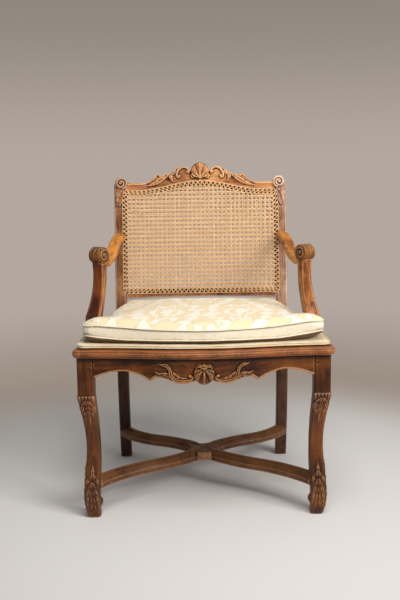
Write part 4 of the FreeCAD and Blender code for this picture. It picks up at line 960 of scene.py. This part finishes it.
def build_border():
    finish = cane_finish("cane_lacing", srgb(250, 212, 162), srgb(212, 156, 100), 0.42)
    # Painted shade: the dark discs stand for the shade inside the holes of the frame.
    dark = plain_finish("cane_hole_painted_shade", srgb(34, 20, 10), srgb(18, 10, 6), 0.7)
    length = np.hypot(*np.diff(border_path(LACE_MIDDLE), axis=0).T).sum()
    count = int(round(length / LACE_STEP)) * 2
    edge, outer, inner, inside = (even_points(border_path(inset), count + 1)
                                  for inset in (LACE_EDGE, LACE_OUTER, LACE_INNER, LACE_INSIDE))
    runs = []
    for index in range(0, count, 2):
        after, ahead, beyond = ((index + k) % count for k in (1, 2, 3))
        runs += [(edge[index], inside[after], *LACE_IN), (inside[after], edge[ahead], *LACE_OUT)]
        runs += [(inside[after], inside[beyond], *LACE_ALONG_INSIDE)]
        runs += [(edge[index], edge[ahead], *LACE_ALONG_EDGE)]
    random = np.random.default_rng(11)
    strands = [(ribbon_box(*run, face), random.uniform(0.2, 0.9)) for face in FACES for run in runs]
    lacing = strand_mesh("cane_border_lacing", strands)
    piece("cane_border_lacing", lacing, finish, "frame", "back_cane_binder", True)
    turn = np.linspace(0, 2 * np.pi, HOLE_CORNERS, endpoint=False)
    places = [(face, spot) for face in FACES for spots, start in ((outer, 1), (inner, 0))
              for spot in spots[start:count:2]]
    discs, faces = [], []
    for face, spot in places:
        first = len(discs) * HOLE_CORNERS
        flat = first + HOLE_CORNERS
        for radius, lift in HOLE_RINGS:
            discs.append(back_place(spot[0] + radius * np.cos(turn), spot[1] + radius * np.sin(turn),
                                    above_panel(face, lift + 0 * turn)))
        for k in range(HOLE_CORNERS):
            after = (k + 1) % HOLE_CORNERS
            faces.append((first + k, first + after, flat + after, flat + k))
        faces.append(tuple(range(flat, flat + HOLE_CORNERS)))
    holes = mesh_of("cane_border_holes", np.vstack(discs), faces)
    piece("cane_border_holes", holes, dark, "frame", "back_cane_binder")


# Seat pad and cushion
CLOTH_CENTRE = (0.0, -0.165)
THREADS = 4600
DAMASK_HALF_REPEAT = 0.095
DAMASK_DROP = 0.32
STEM_LEAVES = 10
BLOSSOM_PETALS = 6
BLOSSOM_SQUASH = 0.55
BLOSSOM_RADIUS = 0.05

# Filling of the cushion; the cap, in millimetres, is as far as a point may move
FILL_PRESSURE = 4.0
FILL_TENSION = 12
FILL_BENDING = 0.4
FILL_FRAMES = 20
FILL_CAP = 9.0

# Rounds of smoothing
PIPING_ROUNDS = 14
WING_ROUNDS = 36

# Lifts, sinks and cloth sizes, in millimetres
CLOTH_TAKE_IN = 1.5
CUSHION_UNDER = 8
CUSHION_BORDER = 36
PIPING_RADIUS = 2.0
PIPING_RISE = 0.6
PAD_PIPING_INSET = 2.5
PAD_PIPING_SINK = 1.6
PAD_RIPPLE = 0.8
LEFT_LIFT = 8.0
RIGHT_LIFT = 14.0
FRONT_SAG = 6.0
REAR_SINK = 16.0
REAR_EDGE_SINK = 3.0

# Shares of its width by which the cushion spreads
SIDE_SPREAD = 0.09
REAR_SPREAD = 0.035

# Where the cushion changes its form, in metres: each change comes in between two places
CUSHION_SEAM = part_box("seat_cushion")[0][2] + CUSHION_UNDER * MM
TOP_FROM = (CUSHION_SEAM, CUSHION_SEAM + 0.03)
FRONT_FROM = (0.10, 0.28)
REAR_FROM = (0.0, 0.19)
CORNER_FROM = (0.17, 0.31)
CROWN_HALF = 0.2
SIDE_SPREAD_FROM = (-0.09, -0.05)
REAR_SPREAD_FROM = (0.0, 0.18)
SIDE_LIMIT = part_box("arm_support_right")[0][0] - 0.0035
SIDE_LIMIT_FROM = (-0.14, -0.1)
SIDE_EASE = 0.002
WING_ASIDE = (0.25, 0.305)
WING_FORWARD = (0.17, 0.25)


def blossom(aside, along, radius):
    """A flower with lobed petals, a ring and a heart, seen from above: 1 on it, 0 off it."""
    reach = (aside * aside + along * along) ** 0.5
    petals = 0.8 + 0.2 * (along.angle(aside) * BLOSSOM_PETALS).cos()
    away = reach / (radius * petals)
    return (1 - away.step(0.88, 1.05)) * (1 - away.step(0.34, 0.44) * (1 - away.step(0.54, 0.64)))


def damask(name, ground, figure, line):
    """Silk damask: leafy stems that part and meet round blossoms, in a paler weave on a warm ground."""
    finish = Finish(name, Sheen_Weight=0.15, Sheen_Roughness=0.5, Specular_IOR_Level=0.25)
    x, y, z = (finish.axis(letter) for letter in "XYZ")
    normal = finish.node("ShaderNodeTexCoord", {}, {}, "Normal")
    top = finish.axis("Z", normal).step(0.3, 0.65)
    sway = (finish.noise(finish.place, 30, 2) - 0.5) * 0.05
    aside = (x + sway).fold(DAMASK_HALF_REPEAT)
    along = (y + sway).fold(DAMASK_DROP / 2)
    swing = (along * 2 * math.pi / DAMASK_DROP).cos()
    stem = (aside - DAMASK_HALF_REPEAT * (0.5 + 0.3 * swing)).abs()
    frill = (along * STEM_LEAVES * math.pi / DAMASK_DROP).sin().abs()
    leaf = 1 - (stem - 0.016 * frill).step(0.002, 0.008)
    first = blossom(aside, along * BLOSSOM_SQUASH, BLOSSOM_RADIUS)
    second = blossom(DAMASK_HALF_REPEAT - aside, (DAMASK_DROP / 2 - along) * BLOSSOM_SQUASH, BLOSSOM_RADIUS)
    leaf = leaf.max(first).max(second)
    outline = 1 - (leaf - 0.5).abs().step(0.2, 0.5)
    fine = finish.noise(finish.place, 130, 3, 0.6).step(0.42, 0.6)
    leaf = leaf * top + fine * (0.5 - 0.5 * top)
    colour = finish.mix(leaf, ground, figure)
    colour = finish.mix(outline * top * 0.65, colour, line)
    # Painted light: the sides of the cushion, which the lamps light less, are lightened towards white.
    colour = finish.mix((1 - top) * 0.4, colour, srgb(255, 249, 236))
    soil = finish.noise(finish.place, 7, 3).step(0.45, 0.75)
    colour = finish.tint(soil * 0.2, colour, srgb(228, 210, 176))
    # Painted shade: faces of the cushion turned downwards are darkened, for the shadow between the cushion
    # and the pad.
    under = 1 - finish.axis("Z", normal).step(-0.55, -0.1)
    colour = finish.tint(under, colour, srgb(120, 96, 66))
    finish.set("Base Color", colour)
    finish.set("Roughness", 0.85 - 0.25 * leaf)
    thread = (x * THREADS).sin() * ((y - z) * THREADS).sin()
    finish.bump(leaf * 0.6 + thread * 0.3 + finish.noise(finish.place, 420, 2) * 0.5, 0.0006)
    return finish.material


def plain_cloth(name, colour, shade):
    finish = Finish(name, Sheen_Weight=0.2, Specular_IOR_Level=0.25)
    x, y, z = (finish.axis(letter) for letter in "XYZ")
    thread = (x * THREADS).sin() * ((y + z) * THREADS).sin()
    patch = finish.noise(finish.place, 14, 4)
    finish.set("Base Color", finish.mix(patch.step(0.3, 0.72), shade, colour))
    finish.set("Roughness", 0.8 + 0.12 * patch)
    finish.bump(thread * 0.4 + patch, 0.0006)
    return finish.material


def puffed(mesh):
    """The mesh filled from inside like a cushion, no point moved further than the cap."""
    start = vertices_of(mesh)
    obj = link("filling", mesh)
    cloth = obj.modifiers.new("Cloth", "CLOTH")
    cloth.settings.use_pressure = True
    cloth.settings.uniform_pressure_force = FILL_PRESSURE
    cloth.settings.effector_weights.gravity = 0
    cloth.settings.tension_stiffness = FILL_TENSION
    cloth.settings.bending_stiffness = FILL_BENDING
    for number in range(1, FILL_FRAMES + 1):
        bpy.context.scene.frame_set(number)
    filled = evaluated_copy(obj)
    bpy.data.objects.remove(obj)
    bpy.context.scene.frame_set(1)
    moved = vertices_of(filled) - start
    moved -= moved.mean(axis=0)
    length = np.linalg.norm(moved, axis=1)[:, None]
    put_vertices(filled, start + moved * np.minimum(1, FILL_CAP * MM / np.maximum(length, 1e-9)))
    return filled


def seam_path(node, level):
    """The outline of a soft solid at one height, in order round it."""
    points = vertices_of(frame["nodes"][node].data)
    ring = points[np.abs(points[:, 2] - level) < 0.4 * MM]
    angle = np.arctan2(ring[:, 1] - CLOTH_CENTRE[1], ring[:, 0] - CLOTH_CENTRE[0])
    ring = ring[np.argsort(angle)][:, :2]
    keep = np.hypot(*(ring - np.roll(ring, 1, axis=0)).T) > 0.5 * MM
    ring = ring[keep]
    return even_points(np.vstack([ring, ring[:1]]), 361)[:-1]


def lifted(points):
    """The cushion as it lies: front corners up, the middle settled, the sides spread behind the supports."""
    points = points.copy()
    x, y = points[:, 0], points[:, 1]
    front = fade(-y, *FRONT_FROM)
    rear = fade(y, *REAR_FROM)
    top = fade(points[:, 2], *TOP_FROM)
    corner = fade(np.abs(x), *CORNER_FROM) * front
    crown = 1 - np.clip(np.abs(x) / CROWN_HALF, 0, 1) ** 2
    points[:, 2] += MM * (np.where(x > 0, RIGHT_LIFT, LEFT_LIFT) * corner - FRONT_SAG * front * crown * top
                          - rear * top * (REAR_EDGE_SINK + (REAR_SINK - REAR_EDGE_SINK) * crown))
    points[:, 0] *= 1 + SIDE_SPREAD * fade(y, *SIDE_SPREAD_FROM) + REAR_SPREAD * fade(y, *REAR_SPREAD_FROM)
    reach = np.abs(points[:, 0])
    eased = SIDE_LIMIT - SIDE_EASE * np.log1p(np.exp((SIDE_LIMIT - reach) / SIDE_EASE))
    points[:, 0] = np.sign(points[:, 0]) * (reach + fade(y, *SIDE_LIMIT_FROM) * (eased - reach))
    return points


def cord_piece(name, path, finish, body, node):
    """A closed piping cord along a path of points."""
    count, around = len(path), 8
    way = np.roll(path, -1, axis=0) - np.roll(path, 1, axis=0)
    way /= np.linalg.norm(way, axis=1)[:, None]
    aside = np.cross(way, (0, 0, 1.0))
    aside /= np.linalg.norm(aside, axis=1)[:, None]
    above = np.cross(aside, way)
    turn = np.linspace(0, 2 * np.pi, around, endpoint=False)
    rings = [path + PIPING_RADIUS * MM * (math.cos(a) * aside + math.sin(a) * above) for a in turn]
    points = np.stack(rings, axis=1).reshape(-1, 3)
    faces = [(i * around + k, (i + 1) % count * around + k, (i + 1) % count * around + (k + 1) % around,
              i * around + (k + 1) % around) for i in range(count) for k in range(around)]
    piece(name, mesh_of(name, points, faces), finish, body, node)


def build_cushion():
    finish = damask("cushion_damask", srgb(245, 227, 188), srgb(254, 247, 230), srgb(228, 200, 148))
    mesh = remeshed("seat_cushion", 6)
    points = relaxed(vertices_of(mesh), edges_of(mesh), 3)
    put_vertices(mesh, points)
    put_vertices(mesh, points - normals_of(mesh) * CLOTH_TAKE_IN * MM)
    mesh = puffed(mesh)
    points = relaxed(vertices_of(mesh), edges_of(mesh), 2)
    wing = fade(np.abs(points[:, 0]), *WING_ASIDE) * fade(-points[:, 1], *WING_FORWARD)
    points += wing[:, None] * (relaxed(points, edges_of(mesh), WING_ROUNDS) - points)
    tree = bvh_of(points, mesh)
    cords = []
    for level in (CUSHION_SEAM, CUSHION_SEAM + CUSHION_BORDER * MM):
        spots = []
        for x, y in seam_path("seat_cushion", level):
            spot, normal, _, _ = tree.find_nearest((x, y, level))
            spots.append(spot + normal * PIPING_RISE * MM)
        spots = np.array(spots)
        for _ in range(PIPING_ROUNDS):
            spots = 0.5 * spots + 0.25 * (np.roll(spots, 1, axis=0) + np.roll(spots, -1, axis=0))
        cords.append(spots)
        points = seamed(points, mesh, spots)
    put_vertices(mesh, lifted(points))
    mesh = with_modifier(mesh, "SUBSURF", levels=1)
    cushion = piece("seat_cushion_damask", mesh, finish, "cushion", "seat_cushion", True)
    for name, path in zip(("cushion_piping_lower", "cushion_piping_upper"), cords):
        cord_piece(name, lifted(path), finish, "cushion", "seat_cushion")


def bvh_of(points, mesh):
    return BVHTree.FromPolygons(points.tolist(), [tuple(face.vertices) for face in mesh.polygons])


def seamed(points, mesh, path, width=7.0, depth=1.6):
    """The cloth drawn in along a seam."""
    put_vertices(mesh, points)
    normals = normals_of(mesh)
    tree = KDTree(len(path))
    for index, spot in enumerate(path):
        tree.insert(spot, index)
    tree.balance()
    gap = np.array([tree.find(spot)[2] for spot in points]) / MM
    return points - normals * (depth * np.exp(-(gap / width) ** 2))[:, None] * MM


def build_pad():
    finish = plain_cloth("pad_linen", srgb(252, 236, 204), srgb(240, 214, 170))
    low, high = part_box("seat_pad")
    mesh = remeshed("seat_pad", 3.5)
    points = relaxed(vertices_of(mesh), edges_of(mesh), 4)
    ripple = np.sin(points[:, 0] * 31 + 1.5 * np.sin(points[:, 1] * 23)) * np.sin(points[:, 1] * 27)
    points[:, 2] += PAD_RIPPLE * MM * ripple * (points[:, 2] > (low[2] + high[2]) / 2)
    put_vertices(mesh, points)
    pad = piece("seat_pad_cloth", mesh, finish, "frame", "seat_pad", True)
    heights = vertices_of(frame["nodes"]["seat_pad"].data)[:, 2]
    for name, level, way in (("pad_piping_lower", heights.min(), 1), ("pad_piping_upper", heights.max(), -1)):
        path = seam_path("seat_pad", level)
        inward = path * (1 - PAD_PIPING_INSET * MM / np.linalg.norm(path, axis=1))[:, None]
        path = np.column_stack([inward, np.full(len(path), level + way * PAD_PIPING_SINK * MM)])
        cord_piece(name, path, finish, "frame", "seat_pad")


# Stage: pale floor that runs out into a grey backdrop on every side, soft light, and the camera
CAMERA_PLACE = Vector((-0.019, -2.286, 0.88))
CAMERA_YAW = 0.32
CAMERA_PITCH = 8.71
CAMERA_ROLL = -0.79
SENSOR_HEIGHT = 36
LENS = 50
FLOOR_REACH = 40.0
FLOOR_DROP = 0.0005
PAPER_NEAR = srgb(220, 219, 218)
PAPER_FAR = srgb(200, 194, 188)
BACKDROP_NEAR = srgb(150, 137, 125)
BACKDROP_FAR = srgb(179, 168, 160)
BACKDROP_TOP = srgb(144, 135, 126)
BLACK = (0, 0, 0, 1)


def seen_directly(finish):
    """1 for what the camera, a gloss or a clear surface sees, 0 for the light that falls on the object."""
    ray = finish.node("ShaderNodeLightPath", {}, {}, "Is Camera Ray")
    for kind in ("Is Glossy Ray", "Is Transmission Ray"):
        ray = ray.max(finish.node("ShaderNodeLightPath", {}, {}, kind))
    return ray


def build_stage():
    signs = ((-1, -1), (1, -1), (1, 1), (-1, 1))
    corners = [(x * FLOOR_REACH, y * FLOOR_REACH, -FLOOR_DROP) for x, y in signs]
    mesh = mesh_of("studio_floor", corners, [(0, 1, 2, 3)])
    finish = Finish("studio_paper", Roughness=0.95, Specular_IOR_Level=0.0, Emission_Strength=1.0)
    x, y = finish.axis("X"), finish.axis("Y")
    away = (x * x + y * y) ** 0.5
    paper = finish.mix(away.step(0.4, 1.5), PAPER_NEAR, PAPER_FAR)
    far = finish.mix(away.step(0.6, 3.5), BACKDROP_NEAR, BACKDROP_FAR)
    share = away.step(0.75, 1.45) * seen_directly(finish)
    finish.set("Base Color", finish.mix(share, paper, BLACK))
    finish.set("Emission Color", finish.mix(share, BLACK, far))
    finish.set("Alpha", 1 - finish.node("ShaderNodeNewGeometry", {}, {}, "Backfacing"))
    mesh.materials.append(finish.material)
    link("studio_floor", mesh)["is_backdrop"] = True


WORLD_COLOUR = (0.26, 0.255, 0.25, 1)
LAMPS = (
    # name, place, size, power, colour
    ("key", (2.0, -2.0, 2.0), 1.3, 70, (1.0, 0.97, 0.93)),
    ("top", (0.2, -1.3, 2.8), 1.4, 40, (1.0, 0.97, 0.93)),
)
LAMP_AIM = Vector((0, 0, 0.5))


class Surround(Finish):
    """The world: even light on the object, and the backdrop where it is seen."""

    def __init__(self, name):
        self.world = bpy.data.worlds.new(name)
        self.world.use_nodes = True
        self.tree = self.world.node_tree
        self.shader = self.tree.nodes["Background"]
        self.place = self.node("ShaderNodeTexCoord", {}, {}, "Generated")


def build_light():
    surround = Surround("studio")
    seen = seen_directly(surround)
    rise = surround.axis("Z")
    wall = surround.mix(rise.step(0.0, 0.2), BACKDROP_FAR, BACKDROP_TOP)
    surround.set("Color", surround.mix(seen, WORLD_COLOUR, wall))
    surround.set("Strength", 1.0)
    bpy.context.scene.world = surround.world
    for name, spot, size, power, colour in LAMPS:
        lamp = bpy.data.lights.new(name, "AREA")
        lamp.energy = power
        lamp.size = size
        lamp.color = colour
        obj = bpy.data.objects.new(name, lamp)
        obj.location = spot
        obj.rotation_euler = (LAMP_AIM - Vector(spot)).to_track_quat("-Z", "Y").to_euler()
        bpy.context.scene.collection.objects.link(obj)


def build_camera():
    yaw, pitch, roll = (math.radians(angle) for angle in (CAMERA_YAW, CAMERA_PITCH, CAMERA_ROLL))
    forward = Vector((math.sin(yaw) * math.cos(pitch), math.cos(yaw) * math.cos(pitch), -math.sin(pitch)))
    level = Vector((math.cos(yaw), -math.sin(yaw), 0))
    right = math.cos(roll) * level + math.sin(roll) * level.cross(forward)
    up = right.cross(forward)
    lens = bpy.data.cameras.new("camera")
    lens.sensor_fit = "VERTICAL"
    lens.sensor_height = SENSOR_HEIGHT
    lens.lens = LENS
    camera = bpy.data.objects.new("camera", lens)
    turn = Matrix((right, up, -forward)).transposed()
    camera.matrix_world = Matrix.Translation(CAMERA_PLACE) @ turn.to_4x4()
    bpy.context.scene.collection.objects.link(camera)
    bpy.context.scene.camera = camera


def write_sizes():
    boxes = {"cad": CAD_BOX, "visual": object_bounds()}
    {name: [list(map(float, corner)) for corner in box] for name, box in boxes.items()}


bpy.context.scene.view_settings.view_transform = "Standard"
build_wood()
build_cane()
build_border()
build_pad()
build_cushion()
build_stage()
build_light()
build_camera()
write_sizes()
